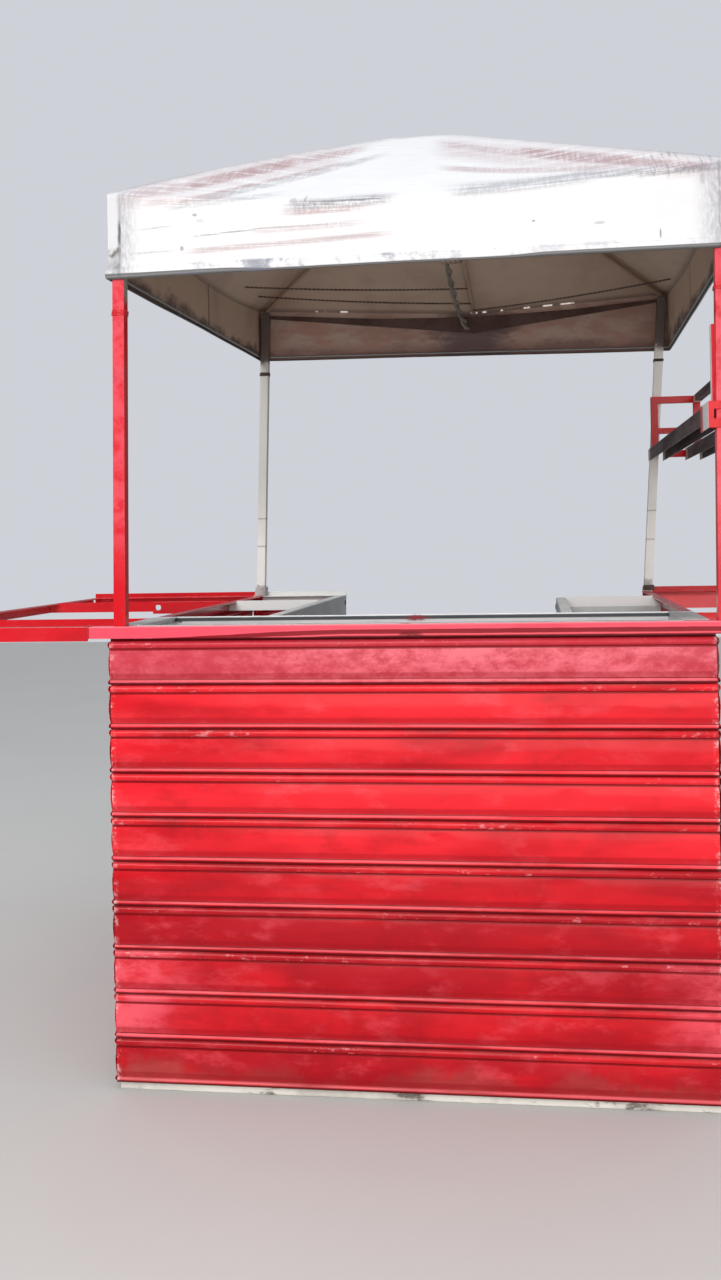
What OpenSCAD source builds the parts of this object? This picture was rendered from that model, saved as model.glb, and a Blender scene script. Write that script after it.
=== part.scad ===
// Street kiosk: a U-shaped counter clad in interlocking shutter laths, with side outriggers,
// a cloth canopy on four posts and a cantilever rack on the right.
// X runs to the right as the customer sees it, Y runs away from the customer, Z is up.
// The origin is on the ground, under the middle of the stall.

/* [Body] */
// Width of the clad front, which is the length of the front laths
body_w = 1220; // [900:10:1600]
// Depth from the front face of the front bar to the rear face of the rear bars
body_d = 1380; // [1150:10:1700]
// Width of each side wing, from the clad front's edge to the wing's inner face
wing_w = 290; // [200:10:380]
// Distance from the front face to the mid bars
mid_y = 1000; // [700:10:1080]

/* [Laths] */
// Height of one lath from joint to joint
lath_pitch = 91; // [80:1:110]
// Number of laths in each wall
lath_n = 10; // [6:1:12]
// Sheet thickness of the laths
lath_t = 1.2; // [0.8:0.1:1.5]
// How far the middle of a lath bows outward
lath_bow = 2.4; // [0:0.2:4]
// Height of the lowest joint above the ground
lath_foot = 24; // [24:1:40]

/* [Angle iron] */
// Leg of the angle iron
leg = 25; // [20:1:32]
// Thickness of the angle iron
steel = 3; // [2:0.5:4]
// Height of the front extension bars of the outriggers
ext_leg = 30; // [26:1:38]
// How far the main front bar stands out past the clad front at each side
bar_over = 44; // [30:2:80]

/* [Outriggers] */
// Reach of each outrigger beyond the clad front
reach = 520; // [300:10:700]
// Length of the bolted stub that carries the outrigger's mid bar
stub_l = 212; // [150:2:240]
// Height of the bolted stub
stub_h = 34; // [30:1:40]
// Diameter of the bolt hole in the stub
stub_hole = 18; // [8:1:20]
// How far the mid bars stand up between the flanges
mid_rise = 3; // [1:0.5:8]
// How far the strip behind the rear bars stands up above them
rear_rise = 13; // [6:1:20]
// Height of the strip behind the rear bars
strip_h = 28; // [22:1:34]

/* [Tray] */
// Depth of the front tray from front to rear
tray_d = 275; // [180:5:300]
// How deep the tray hangs
tray_h = 70; // [40:5:120]
// Space between the tray's end and the clad front's edge
tray_in = 60; // [50:2:100]
// Thickness of the tray and panel sheet
sheet_t = 1.2; // [0.8:0.1:2]

/* [Posts] */
// Outer side of the square post tube
post = 25; // [20:1:32]
// Wall of the post tube
post_t = 1.6; // [1:0.1:2.5]
// Distance of the post centres inward from the ends of the clad front
post_set = 4; // [0:1:12]
// How far the posts' feet stand to the right of the body's middle
foot_shift = 20; // [0:1:24]
// How much farther left the rear right post's foot stands than the front one's
rear_foot = 29; // [0:1:32]
// How far the posts' heads and the canopy stand to the right of the body's middle
shift = 40; // [30:1:50]
// How much farther right the rear edge of the canopy stands than its front edge
skew = 18; // [0:1:20]
// How far the cloth hangs clear of the posts' heads at the sides
side_room = 7; // [6:1:14]

/* [Canopy] */
// Height of the hem rods
hem_z = 1688; // [1600:2:1740]
// How much higher the hem hangs at the rear left corner
hem_lift = 16; // [0:1:24]
// Diameter of the hem rods
hem_d = 6; // [5:0.5:8]
// Height of the eave at the corners
eave_z = 1850; // [1820:2:1950]
// Height of the peak
peak_z = 2150; // [2050:5:2300]
// Sag of the front and side eaves
sag = 40; // [20:2:70]
// How far the rear eave is drawn down where it meets the centre rafter
sag_rear = 36; // [20:2:60]
// How far the centre rafter's foot stands to the right of the peak
draw = 44; // [0:2:80]
// Thickness of the canopy cloth
cloth_t = 2; // [1.5:0.1:3]
// Droop of the cloth between the rafters
droop = 6; // [0:1:12]
// Diameter of the rafter rods
rod = 12; // [8:1:16]
// Diameter of the purlin wires
wire = 5; // [3:0.5:7]
// Depth of the rear brace at its middle
brace_h = 50; // [30:2:70]

/* [Rack] */
// Height of the underside of the rack's rails
rack_z = 1345; // [1250:5:1400]
// Reach of the rack from the post centre to its outer face
rack_reach = 131; // [110:1:180]
// Width of a rack rail
rail_w = 45; // [40:1:50]
// Height of a rack rail
rail_h = 35; // [25:1:45]
// Bar size of the rack's end frame
frame_bar = 20; // [15:1:25]
// Height of the end frame above the rails
frame_h = 155; // [120:5:220]

/* [Hidden] */

// Clearance between pieces that would otherwise share a curved or cut face
clear = 0.3;
// The lath's section reaches this far outward and inward from its own reference line
lath_out = 5 + lath_t / 2;
lath_in = 5.5 + lath_t / 2;
lath_deep = lath_out + lath_in;
// Outer plane of the front frame, and of the two side frames
frame_y = body_d / 2 - steel - 0.4 - lath_deep;
frame_x = body_w / 2 - 3.6;
// Heights of the counter frame, which sits on top of the laths
wall_top = lath_foot + lath_n * lath_pitch - 2;
top_z = wall_top + leg;
flange_z = top_z - steel;
// Planes of the side rails, the inner bars and the mid bars
rail_x = frame_x - steel;
inner_x = body_w / 2 - wing_w;
mid_plane = mid_y - body_d / 2;
tray_front = -body_d / 2 + leg + clear;
tray_back = tray_front + tray_d;
second_y = tray_back + steel + 15;
out_x = body_w / 2 + reach;
bar_x = body_w / 2 + bar_over;
// Post centres
post_span = body_w - 2 * post_set;
post_y = body_d / 2 - post / 2;
foot_l = foot_shift - post_span / 2;
foot_r = foot_shift + post_span / 2;
head_span = post_span - 4;
function skew_at(y) = skew / 2 * y / post_y;
function head_l(y) = shift + skew_at(y) - head_span / 2;
function head_r(y) = shift + skew_at(y) + head_span / 2;
// Canopy outline
cover_x = head_span / 2 + post / 2 + side_room + cloth_t;
cover_y = body_d / 2 + clear + cloth_t;
hem_top = hem_z + hem_d / 2 + clear;
function hem_rise(x, y) =
    hem_lift * (cover_x + shift + skew_at(y) - x) / (2 * cover_x) * (cover_y + y) / (2 * cover_y);
// Rafter axes lie just under the cloth, along straight lines from the peak
roof_in = cloth_t * 1.15;
under = rod / 2 + 1;
rear_z = eave_z - sag_rear;
rear_slope = atan((peak_z - rear_z) / cover_y);
hip_slope = atan((peak_z - eave_z) / norm([cover_x, cover_y]));
hip_k = post_y / cover_y;
hub_z = peak_z - roof_in - under / cos(rear_slope);
hip_end = peak_z - (peak_z - eave_z) * (hip_k + side_room / cover_x) - roof_in - under / cos(hip_slope) - 1;
rear_end = peak_z - (peak_z - rear_z) * hip_k - roof_in - under / cos(rear_slope);
post_top = hip_end - rod / 2 * cos(hip_slope) - clear;
// Rack places
rack_l = foot_r - post / 2 - 8.5;
rack_r = foot_r + rack_reach;
rack_top = rack_z + rail_h;
rack_front = -body_d / 2 + post + clear;

red = [0.78, 0.06, 0.08];
white = [0.86, 0.86, 0.83];
zinc = [0.62, 0.64, 0.65];
umber = [0.33, 0.26, 0.24];

// Angle iron along X. The corner lies at the origin, one leg is upright on the plane y = 0 and goes
// down, the flange goes along +Y at the top.
module angle_x(l, h = leg, w = leg, t = steel) {
    rotate([90, 0, 90]) linear_extrude(l)
        polygon([[0, 0], [w, 0], [w, -t], [t, -t], [t, -h], [0, -h]]);
}
// The same with the flange at the foot of the upright leg, for bars that pass under a flange
module low_angle_x(l, h, w = leg, t = steel) {
    rotate([90, 0, 90]) linear_extrude(l)
        polygon([[0, 0], [t, 0], [t, t - h], [w, t - h], [w, -h], [0, -h]]);
}
// Angle iron along Y, upright leg on the plane x = 0, flange along +X at the top
module angle_y(l, h = leg, w = leg, t = steel) {
    translate([0, l, 0]) rotate([90, 0, 0]) linear_extrude(l)
        polygon([[0, 0], [w, 0], [w, -t], [t, -t], [t, -h], [0, -h]]);
}
// Angle iron along Z, corner at the origin, legs along +X and +Y
module upright(h, w = leg, t = steel) {
    linear_extrude(h) polygon([[0, 0], [w, 0], [w, t], [t, t], [t, w], [0, w]]);
}
module mirror_x() { mirror([1, 0, 0]) children(); }

// Lath section: u is the distance outward from the reference line, z the height over the joint
function arc(cu, cz, r, a0, a1, n) = [for (i = [0 : n]) let (a = a0 + (a1 - a0) * i / n)
    [cu + r * cos(a), cz + r * sin(a)]];
hook_r = 3.3;
over_r = 3.4;
crease = lath_pitch - 25;
hook = concat([[-2, 2]], arc(-2 + hook_r, -3, hook_r, 180, 360, 6));
face = [for (i = [0 : 5]) let (k = i / 5) [2 - 1.6 * k + lath_bow * sin(180 * k), 9 + (crease - 9) * k]];
bead = [for (i = [1 : 5]) let (k = i / 6) [0.4 + 4.6 * sin(180 * k), crease + 16 * k]];
neck = [[-2.4, crease + 16], [-5.5, crease + 20]];
over = concat([[-5.5, lath_pitch + 3]], arc(-5.5 + over_r, lath_pitch + 3, over_r, 150, 0, 5),
    [[-5.5 + 2 * over_r, lath_pitch - 5.2]]);
// The whole line of one lath from the tip of its hook to the tip of its upper roll
lath_line = concat(hook, [[2 * hook_r - 2, 2.5]], face, bead, neck, over);
// The top lath has its upper roll cut off under the counter frame
top_line = concat(hook, [[2 * hook_r - 2, 2.5]], face, bead, neck, [[-5.5, lath_pitch - 2 - clear]]);

function unit(v) = v / norm(v);
function turn(v) = [-v[1], v[0]];
// Side points of a sheet of thickness t that follows a line
function offset_at(p, i, d) = let (n = len(p) - 1,
    a = i == 0 ? unit(p[1] - p[0]) : unit(p[i] - p[i - 1]),
    b = i == n ? unit(p[n] - p[n - 1]) : unit(p[i + 1] - p[i]),
    m = unit(turn(a) + turn(b)), c = max(0.5, m * turn(a))) p[i] + m * d / c;
function ribbon(p, t) = concat([for (i = [0 : len(p) - 1]) offset_at(p, i, t / 2)],
    [for (i = [len(p) - 1 : -1 : 0]) offset_at(p, i, -t / 2)]);

// One wall of laths of length l, standing on y = 0 with its outer face towards -Y
module lath_wall(l) {
    for (i = [0 : lath_n - 1])
        translate([0, 0, lath_foot + i * lath_pitch]) rotate([90, 0, 90]) linear_extrude(l)
            polygon([for (q = ribbon(i == lath_n - 1 ? top_line : lath_line, lath_t))
                [-q[0] - lath_in, q[1]]]);
}

module front_laths() color(red) translate([-body_w / 2, -frame_y, 0]) lath_wall(body_w);
module side_laths() rotate([0, 0, -90]) translate([clear - frame_y, -frame_x, 0])
    lath_wall(2 * frame_y - 2 * clear);
module left_laths() color(red) side_laths();
module right_laths() color(red) mirror_x() side_laths();
module wing_end_laths() color(red)
    translate([-inner_x, frame_y, 0]) rotate([0, 0, 180]) lath_wall(wing_w);

// Bottom rails stand on their upright leg, with the flange inside at the ground
module bottom_x(l) { translate([0, 0, leg]) low_angle_x(l, leg); }
module bottom_y(l) {
    translate([0, l, leg]) rotate([90, 0, 0]) linear_extrude(l)
        polygon([[0, 0], [steel, 0], [steel, steel - leg], [leg, steel - leg], [leg, -leg], [0, -leg]]);
}
module front_bottom_rail() color(white) translate([-frame_x, -frame_y, 0]) bottom_x(2 * frame_x);
module left_bottom_rail() color(white)
    translate([-frame_x, leg - frame_y, 0]) bottom_y(2 * frame_y - leg);
module right_bottom_rail() color(white) mirror_x()
    translate([-frame_x, leg - frame_y, 0]) bottom_y(2 * frame_y - leg);
module wing_bottom_rails() color(white) {
    translate([-inner_x, leg - frame_y, 0]) mirror_x() bottom_y(2 * frame_y - leg);
    translate([inner_x, leg - frame_y, 0]) bottom_y(mid_plane + frame_y - leg);
    translate([-frame_x + leg, frame_y, 0]) mirror([0, 1, 0]) bottom_x(frame_x - inner_x - 2 * leg);
}

// Corner uprights stand on the bottom rails and carry the counter frame
module corner_upright() { translate([-frame_x, -frame_y, leg]) upright(flange_z - leg); }
module front_left_upright() color(red) corner_upright();
module front_right_upright() color(red) mirror_x() corner_upright();
module rear_left_upright() color(red) mirror([0, 1, 0]) corner_upright();
module rear_right_upright() color(red) mirror([0, 1, 0]) mirror_x() corner_upright();
module inner_upright(y, up) { translate([-inner_x, y, leg]) mirror_x() upright(up - leg); }
module left_wing_uprights() color(white) {
    inner_upright(tray_back + steel, wall_top);
    mirror([0, 1, 0]) inner_upright(-frame_y, wall_top + steel);
}
module right_wing_uprights() color(white) mirror_x() {
    inner_upright(tray_back + steel, wall_top);
    mirror([0, 1, 0]) inner_upright(-mid_plane, wall_top);
}

// Galvanised sheets on the inner faces of the wings
module inner_panel(end) {
    y = tray_back + leg + clear;
    translate([-inner_x, y, leg]) cube([sheet_t, end - y, top_z - leg - 2]);
}
module left_inner_panel() color(zinc) inner_panel(frame_y);
module right_inner_panel() color(zinc) mirror_x() inner_panel(mid_plane);
module right_end_panel() color(zinc)
    translate([inner_x, mid_plane, leg]) cube([rail_x - inner_x - steel, sheet_t, wall_top - leg - clear]);

module front_bar() color(red) translate([-bar_x, -body_d / 2, top_z]) angle_x(2 * bar_x);
module side_rail() {
    translate([-rail_x, leg + clear - body_d / 2, top_z]) angle_y(body_d - 2 * leg - 2 * clear);
}
module left_side_rail() color(red) side_rail();
module right_side_rail() color(red) mirror_x() side_rail();

// Folded tray with a flange that lies on the frame in front and at both ends
module tray() color(zinc) {
    x = body_w / 2 - tray_in;
    w = rail_x - 3;
    difference() {
        union() {
            translate([-x, tray_front, top_z - tray_h]) cube([2 * x, tray_d, tray_h]);
            translate([-w, tray_front + clear, top_z]) cube([2 * w, tray_d - clear, sheet_t]);
            translate([-x, tray_front - leg + 6, top_z]) cube([2 * x, leg, sheet_t]);
        }
        translate([-x + sheet_t, tray_front + sheet_t, top_z - tray_h + sheet_t])
            cube([2 * (x - sheet_t), tray_d - 2 * sheet_t, tray_h + 5]);
    }
}
module tray_rear_rail() color(red)
    translate([steel - rail_x, tray_back, flange_z]) low_angle_x(2 * (rail_x - steel), leg - steel);

// White bars inside the wings: an inner bar along the wing and the mid bar across it
module wing_bars(l) {
    translate([-inner_x, tray_back + steel, top_z]) mirror_x() angle_y(l, leg - steel);
    translate([steel - rail_x, mid_plane, flange_z - clear])
        low_angle_x(rail_x - inner_x - 2 * steel - clear, leg - steel - clear);
    mid_edge(leg + clear - rail_x, -inner_x - leg - clear);
}
// The upper edge of a mid bar, which stands up between the flanges at its two ends
module mid_edge(x0, x1) translate([x0, mid_plane, flange_z - 2]) cube([x1 - x0, steel, 2 + steel + mid_rise]);
module left_wing_bars() color(white) wing_bars(body_d / 2 - leg - clear - tray_back - steel);
module right_wing_bars() color(white) mirror_x() wing_bars(mid_plane + leg - tray_back - steel);

// Outrigger frames
module extension_bar() { translate([-out_x, -body_d / 2, top_z]) angle_x(out_x - bar_x - clear, ext_leg); }
module cross_bars() {
    translate([steel - out_x, second_y, flange_z]) low_angle_x(out_x - steel - rail_x, leg - steel);
    difference() {
        union() {
            translate([steel - out_x, mid_plane, flange_z])
                low_angle_x(out_x - steel - body_w / 2 - stub_l / 2, leg - steel);
            mid_edge(leg + clear - out_x, -body_w / 2 - stub_l / 2);
        }
        bolt_hole();
    }
}
module bolt_hole() {
    translate([-body_w / 2 - stub_l + 15, mid_plane - 10, flange_z - (leg - steel) / 2 + 1])
        rotate([-90, 0, 0]) cylinder(d = stub_hole, h = 20, $fn = 32);
}
module end_bar() { translate([-out_x, leg + clear - body_d / 2, top_z]) angle_y(body_d - 2 * leg - 2 * clear); }
// The stub is stepped where it passes over the laths
module stub() {
    z = top_z + mid_rise;
    step = 11;
    difference() {
        union() {
            translate([-body_w / 2 - stub_l, mid_plane - 6, z - stub_h]) cube([stub_l - step, 6, stub_h]);
            translate([-body_w / 2 - step - 1, mid_plane - 6, wall_top])
                cube([step + 1 + body_w / 2 - rail_x, 6, z - wall_top]);
        }
        bolt_hole();
    }
}
// Rear bars: an angle with the flange inward, and a flat strip behind it that stands up past the flange
module rear_bar(l) {
    translate([-out_x, body_d / 2, top_z]) mirror([0, 1, 0]) rotate([90, 0, 90]) linear_extrude(l)
        polygon([[0, 0], [leg, 0], [leg, -steel], [steel, -steel], [steel, -leg], [0, -leg],
            [0, rear_rise - strip_h], [-steel, rear_rise - strip_h], [-steel, rear_rise], [0, rear_rise]]);
}
module left_extension_bar() color(red) extension_bar();
module left_cross_bars() color(red) cross_bars();
module left_rear_bar() color(red) rear_bar(out_x - inner_x);
module left_end_bar() color(red) end_bar();
module left_stub() color(red) stub();
module right_extension_bar() color(red) mirror_x() extension_bar();
module right_cross_bars() color(red) mirror_x() cross_bars();
module right_rear_bar() color(red) mirror_x() rear_bar(out_x - frame_x + leg);
module right_end_bar() color(red) mirror_x() end_bar();
module right_stub() color(red) mirror_x() stub();

// Square tube posts that stand on the front and rear bars and lean a little to the right
module leaning(x0, x1, y, d, z0, z1) {
    ring = [[-d, -d], [d, -d], [d, d], [-d, d]];
    function at_z(z) = x0 + (x1 - x0) * (z - top_z) / (post_top - top_z);
    polyhedron([for (z = [z0, z1]) for (p = ring) [at_z(z) + p[0], y + p[1], z]],
        [[0, 1, 2, 3], [7, 6, 5, 4], [0, 4, 5, 1], [1, 5, 6, 2], [2, 6, 7, 3], [3, 7, 4, 0]]);
}
module post_tube(x0, x1, y) difference() {
    leaning(x0, x1, y, post / 2, top_z, post_top);
    leaning(x0, x1, y, post / 2 - post_t, top_z - 1, post_top - post_t);
}
module front_left_post() color(red) post_tube(foot_l, head_l(-post_y), -post_y);
module front_right_post() color(red) post_tube(foot_r, head_r(-post_y), -post_y);
module rear_left_post() color(white) post_tube(foot_l, head_l(post_y), post_y);
module rear_right_post() color(white) post_tube(foot_r - rear_foot, head_r(post_y), post_y);

// Canopy: k runs round the eave, 0 to 4 over the front, right, rear and left sides
side_n = 12;
function corner(i, d) = [[-cover_x + d, -cover_y + d], [cover_x - d, -cover_y + d],
    [cover_x - d, cover_y - d], [-cover_x + d, cover_y - d]][i % 4];
mid_s = 0.5 - draw / (2 * cover_x);
function eave_drop(i, s) = i == 2 ? sag_rear * (s < mid_s ? s / mid_s : (1 - s) / (1 - mid_s))
    : sag * (1 - pow(2 * s - 1, 2));
function eave(k, d) = let (i = floor(k) % 4, s = k - floor(k),
    p = corner(i, d) * (1 - s) + corner(i + 1, d) * s)
    [p[0] + shift + skew_at(p[1]), p[1], eave_z - eave_drop(i, s) - d];
function roof(k, r, d) = let (e = eave(k, d), a = [shift, 0, peak_z - d * 1.1], s = k - floor(k))
    a * (1 - r) + e * r - [0, 0, 4 * droop * r * (1 - r) * pow(sin(360 * s), 2)];
// Heights of the rows down the valance
function hang(k, f, d) = let (e = eave(k, d))
    [e[0], e[1], e[2] * (1 - f) + (hem_top + hem_rise(e[0], e[1])) * f];
rows = [0.12, 0.3, 0.5, 0.7, 0.88, 1];
falls = [0.5, 1];
function skin(d) = concat([roof(0, 0, d)],
    [for (r = rows) for (j = [0 : 4 * side_n - 1]) roof(j / side_n, r, d)],
    [for (f = falls) for (j = [0 : 4 * side_n - 1]) hang(j / side_n, f, d)]);
around = 4 * side_n;
down = len(rows) + len(falls);
function at(row, j) = 1 + row * around + j % around;
function twin(f, k) = [f[0] + k, f[2] + k, f[1] + k];
module canopy_cover() {
    size = 1 + around * down;
    outer = concat([for (j = [0 : around - 1]) [0, at(0, j + 1), at(0, j)]],
        [for (i = [0 : down - 2]) for (j = [0 : around - 1]) each [
            [at(i, j), at(i, j + 1), at(i + 1, j + 1)], [at(i, j), at(i + 1, j + 1), at(i + 1, j)]]]);
    inner = [for (f = outer) twin(f, size)];
    hem = [for (j = [0 : around - 1]) each [
        [at(down - 1, j), at(down - 1, j + 1), at(down - 1, j + 1) + size],
        [at(down - 1, j), at(down - 1, j + 1) + size, at(down - 1, j) + size]]];
    color(white) polyhedron(concat(skin(0), skin(cloth_t)), concat(outer, inner, hem));
}

// A round rod between two points
module rod_between(a, b, d) {
    v = b - a;
    translate(a) rotate([0, acos(v[2] / norm(v)), atan2(v[1], v[0])]) cylinder(d = d, h = norm(v), $fn = 16);
}
function on_hem(x, y) = [x, y, hem_z + hem_rise(x, y)];
module hem_rods() color(zinc) {
    y = body_d / 2 + hem_d / 2;
    x = cover_x;
    long = y + hem_d / 2;
    for (s = [-1, 1]) {
        cx = shift + skew_at(s * y);
        rod_between(on_hem(cx - x + 1, s * y), on_hem(cx + x - 1, s * y), hem_d);
        rod_between(on_hem(shift + skew_at(-long) + s * x, -long), on_hem(shift + skew_at(long) + s * x, long),
            hem_d);
    }
}
// Four hip rafters and a centre rafter at the rear butt on a boss under the peak
foot_x = shift + skew_at(post_y) + draw;
hub = [shift, 0, hub_z];
boss_r = 2 * rod - 2;
module rafter(end) {
    k = (boss_r + 0.18 * rod) / norm([end[0] - hub[0], end[1]]);
    rod_between(hub * (1 - k) + end * k, end, rod);
}
module rafters() color(umber) {
    for (y = [-post_y, post_y]) for (x = [head_l(y), head_r(y)]) rafter([x, y, hip_end]);
    rafter([foot_x, post_y, rear_end]);
    translate([shift, 0, hub_z - 40]) cylinder(r = boss_r, h = 35, $fn = 48);
}
// Purlin wires run under the rear slope from the hips to the centre rafter
function on_hip(x, k) = hub * (1 - k) + [x, post_y, hip_end] * k;
function on_foot(k) = hub * (1 - k) + [foot_x, post_y, rear_end] * k;
module purlin(x, k) {
    fall = (rod + wire) / 2 / cos(rear_slope) + clear;
    stop = [x < foot_x ? -wire / 2 : wire / 2, 0, -1];
    rod_between(on_hip(x, k) - [0, 0, fall], on_foot(k) + stop - [0, 0, fall], wire);
}
module purlins() color(umber) {
    purlin(head_l(post_y), 0.74);
    purlin(head_l(post_y), 0.86);
    purlin(head_r(post_y), 0.86);
}
// Flat brace between the rear posts, deepest where the centre rafter comes down
module rear_brace() color(umber) {
    y = post_y + post / 2 - 2 - steel;
    z = post_top - 4;
    // The right post leans in under its head, so the brace ends short of it
    lean = (head_r(post_y) - foot_r + rear_foot) / (post_top - top_z);
    l = head_l(post_y) + post / 2 + clear;
    r = head_r(post_y) - post / 2 - clear - 14 * lean;
    low = rear_end - under / cos(rear_slope) - clear * 3;
    translate([0, y + steel, 0]) rotate([90, 0, 0]) linear_extrude(steel)
        polygon([[l, z], [l, z - 10], [foot_x, low - brace_h], [r, z - 10], [r, z],
            [foot_x + 290, low + 10], [foot_x + 20, low], [foot_x - 20, low], [foot_x - 290, low + 6]]);
}

// Rack on the right posts: two channel rails, end frames and a guard rail
module rail(x, w, y0, y1) {
    difference() {
        translate([x, y0, rack_z]) cube([w, y1 - y0, rail_h]);
        translate([x + steel, y0 - 1, rack_z - 1]) cube([w - 2 * steel, y1 - y0 + 2, rail_h - steel + 1]);
    }
}
module rack_rails() color(umber) {
    rail(rack_l, rail_w, rack_front, -rack_front);
    rail(rack_r - rail_w, rail_w, rack_front, -rack_front);
    translate([rack_r - frame_bar, rack_front + frame_bar, rack_top + frame_h - frame_bar])
        cube([frame_bar, -2 * rack_front - 2 * frame_bar, frame_bar]);
}
module end_frame() {
    x = foot_r - post / 2;
    translate([0, -frame_bar, 0]) difference() {
        translate([x, 0, rack_top]) cube([rack_r - x, frame_bar, frame_h]);
        translate([x + frame_bar, -1, rack_top + 62])
            cube([rack_r - x - 2 * frame_bar, frame_bar + 2, frame_h - 62 - frame_bar]);
        translate([x + frame_bar, -1, rack_top - 1]) cube([rack_r - x - 2 * frame_bar, frame_bar + 2, 46]);
    }
    translate([rack_l + rail_w, -frame_bar, rack_z + 10]) cube([rack_r - rack_l - 2 * rail_w, frame_bar, 20]);
}
module rack_frames() color(red) {
    translate([0, -rack_front, 0]) end_frame();
    translate([0, rack_front + frame_bar, 0]) end_frame();
    rack_bracket();
}
// The bracket clamps the inner rail to the front post
module rack_bracket() {
    h = 52;
    z = rack_top - h + 2;
    y = -body_d / 2 - steel;
    translate([rack_l - steel, y, z]) cube([steel, 120, h]);
    difference() {
        translate([rack_l, y, z]) cube([post + 25, steel, h]);
        translate([rack_l + 8, y - 1, z + 18]) cube([post + 25, steel + 2, 18]);
    }
}

front_bottom_rail();
left_bottom_rail();
right_bottom_rail();
wing_bottom_rails();
front_left_upright();
front_right_upright();
rear_left_upright();
rear_right_upright();
left_wing_uprights();
right_wing_uprights();
front_laths();
left_laths();
right_laths();
wing_end_laths();
left_inner_panel();
right_inner_panel();
right_end_panel();
front_bar();
left_side_rail();
right_side_rail();
tray();
tray_rear_rail();
left_wing_bars();
right_wing_bars();
left_extension_bar();
left_cross_bars();
left_rear_bar();
left_end_bar();
left_stub();
right_extension_bar();
right_cross_bars();
right_rear_bar();
right_end_bar();
right_stub();
front_left_post();
front_right_post();
rear_left_post();
rear_right_post();
canopy_cover();
hem_rods();
rafters();
purlins();
rear_brace();
rack_frames();
rack_rails();
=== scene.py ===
# %% [markdown]
# # A street kiosk in red shutter laths
#
# The stall is a counter bent into a U. Its walls are the laths of roller shutters, hooked into each
# other and painted red, on a frame of angle iron. Four square posts carry a white vinyl canopy, and a
# rack of channel rails hangs on the two posts at the right.
#
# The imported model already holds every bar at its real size. This script keeps those bars and gives
# them paint, and it builds again the two things that plain solids can't show: sheet metal that has
# been bent, dented and brushed with paint, and cloth that hangs.

# %% Load the frame and keep the size it starts with
import math

import bmesh
import bpy
import numpy as np
from mathutils import Matrix, Vector


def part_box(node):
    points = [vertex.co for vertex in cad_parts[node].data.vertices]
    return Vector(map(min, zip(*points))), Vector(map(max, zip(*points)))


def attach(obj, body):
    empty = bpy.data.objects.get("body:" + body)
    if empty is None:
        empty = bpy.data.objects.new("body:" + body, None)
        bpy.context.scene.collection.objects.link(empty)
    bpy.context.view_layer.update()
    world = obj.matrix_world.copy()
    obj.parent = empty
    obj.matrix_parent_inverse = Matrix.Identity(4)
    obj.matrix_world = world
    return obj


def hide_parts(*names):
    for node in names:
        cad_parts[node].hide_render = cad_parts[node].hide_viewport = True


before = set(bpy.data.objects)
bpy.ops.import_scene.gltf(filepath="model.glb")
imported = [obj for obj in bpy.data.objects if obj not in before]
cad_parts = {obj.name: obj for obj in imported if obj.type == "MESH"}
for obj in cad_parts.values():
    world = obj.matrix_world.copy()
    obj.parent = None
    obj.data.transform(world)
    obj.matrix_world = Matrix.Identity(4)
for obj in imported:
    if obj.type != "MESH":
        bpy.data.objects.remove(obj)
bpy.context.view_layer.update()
scene = bpy.context.scene

# %% [markdown]
# ## The camera
#
# The photograph was taken standing in front of the stall's right half, a little over three metres
# from its middle and a little above the counter. The lens, the place and the three turns below come
# from fitting one camera to the laths, the bars and the posts. The camera points nearly level and the
# frame hangs low under its axis, so the picture is shifted instead of tilted. That keeps the posts
# upright, as they are in the photograph.

# %% Camera
PHOTO_SIZE = (721, 1280)
FOCAL_PX = 1270.0
AXIS_ROW = 534.7
CAMERA_PLACE = Vector((0.268, -3.214, 1.126))
YAW, PITCH, ROLL = (math.radians(a) for a in (7.87, 0.24, -1.09))


def camera_axes(yaw, pitch, roll):
    """The camera's right, up and backward directions in the stall's frame."""
    forward = Vector((-math.sin(yaw) * math.cos(pitch), math.cos(yaw) * math.cos(pitch), math.sin(pitch)))
    right = Vector((math.cos(yaw), math.sin(yaw), 0.0))
    up = right.cross(forward)
    turned_right = right * math.cos(roll) + up * math.sin(roll)
    turned_up = up * math.cos(roll) - right * math.sin(roll)
    return turned_right, turned_up, -forward


def new_object(name, data):
    item = bpy.data.objects.new(name, data)
    scene.collection.objects.link(item)
    return item


def make_camera():
    data = bpy.data.cameras.new("photo camera")
    data.sensor_width = 36.0
    data.lens = FOCAL_PX / PHOTO_SIZE[1] * data.sensor_width
    data.shift_y = (AXIS_ROW - PHOTO_SIZE[1] / 2) / PHOTO_SIZE[1]
    data.clip_start = 0.05
    data.clip_end = 60.0
    camera = new_object("photo camera", data)
    turn = Matrix(camera_axes(YAW, PITCH, ROLL)).transposed()
    camera.matrix_world = Matrix.Translation(CAMERA_PLACE) @ turn.to_4x4()
    return camera


scene.camera = make_camera()
print("Lens in millimetres:", round(scene.camera.data.lens, 2))

# %% [markdown]
# ## Building shaders and geometry by hand
#
# A node tree is a list of nodes and a list of wires. A few helpers keep the lists short. One adds a
# node and one fills its sockets. The others do arithmetic, mix colours and make noise, and they find
# their tree from the sockets they are given. Everything below is built from them.

# %% Helpers that add and fill nodes
def is_socket(value):
    return isinstance(value, bpy.types.NodeSocket)


def put(socket, value):
    """Wires a socket to another one, or sets its constant."""
    if is_socket(value):
        socket.id_data.links.new(value, socket)
    else:
        socket.default_value = value


def add(tree, kind, inputs=None, **settings):
    """Adds a node. Settings are its properties. Inputs are values or sockets, by name or number."""
    node = tree.nodes.new(kind)
    for key, value in settings.items():
        setattr(node, key, value)
    for key, value in (inputs or {}).items():
        put(node.inputs[key], value)
    return node


def made(tree, kind, inputs=None, **settings):
    """Adds a node and returns its first output."""
    return add(tree, kind, inputs, **settings).outputs[0]


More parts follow.
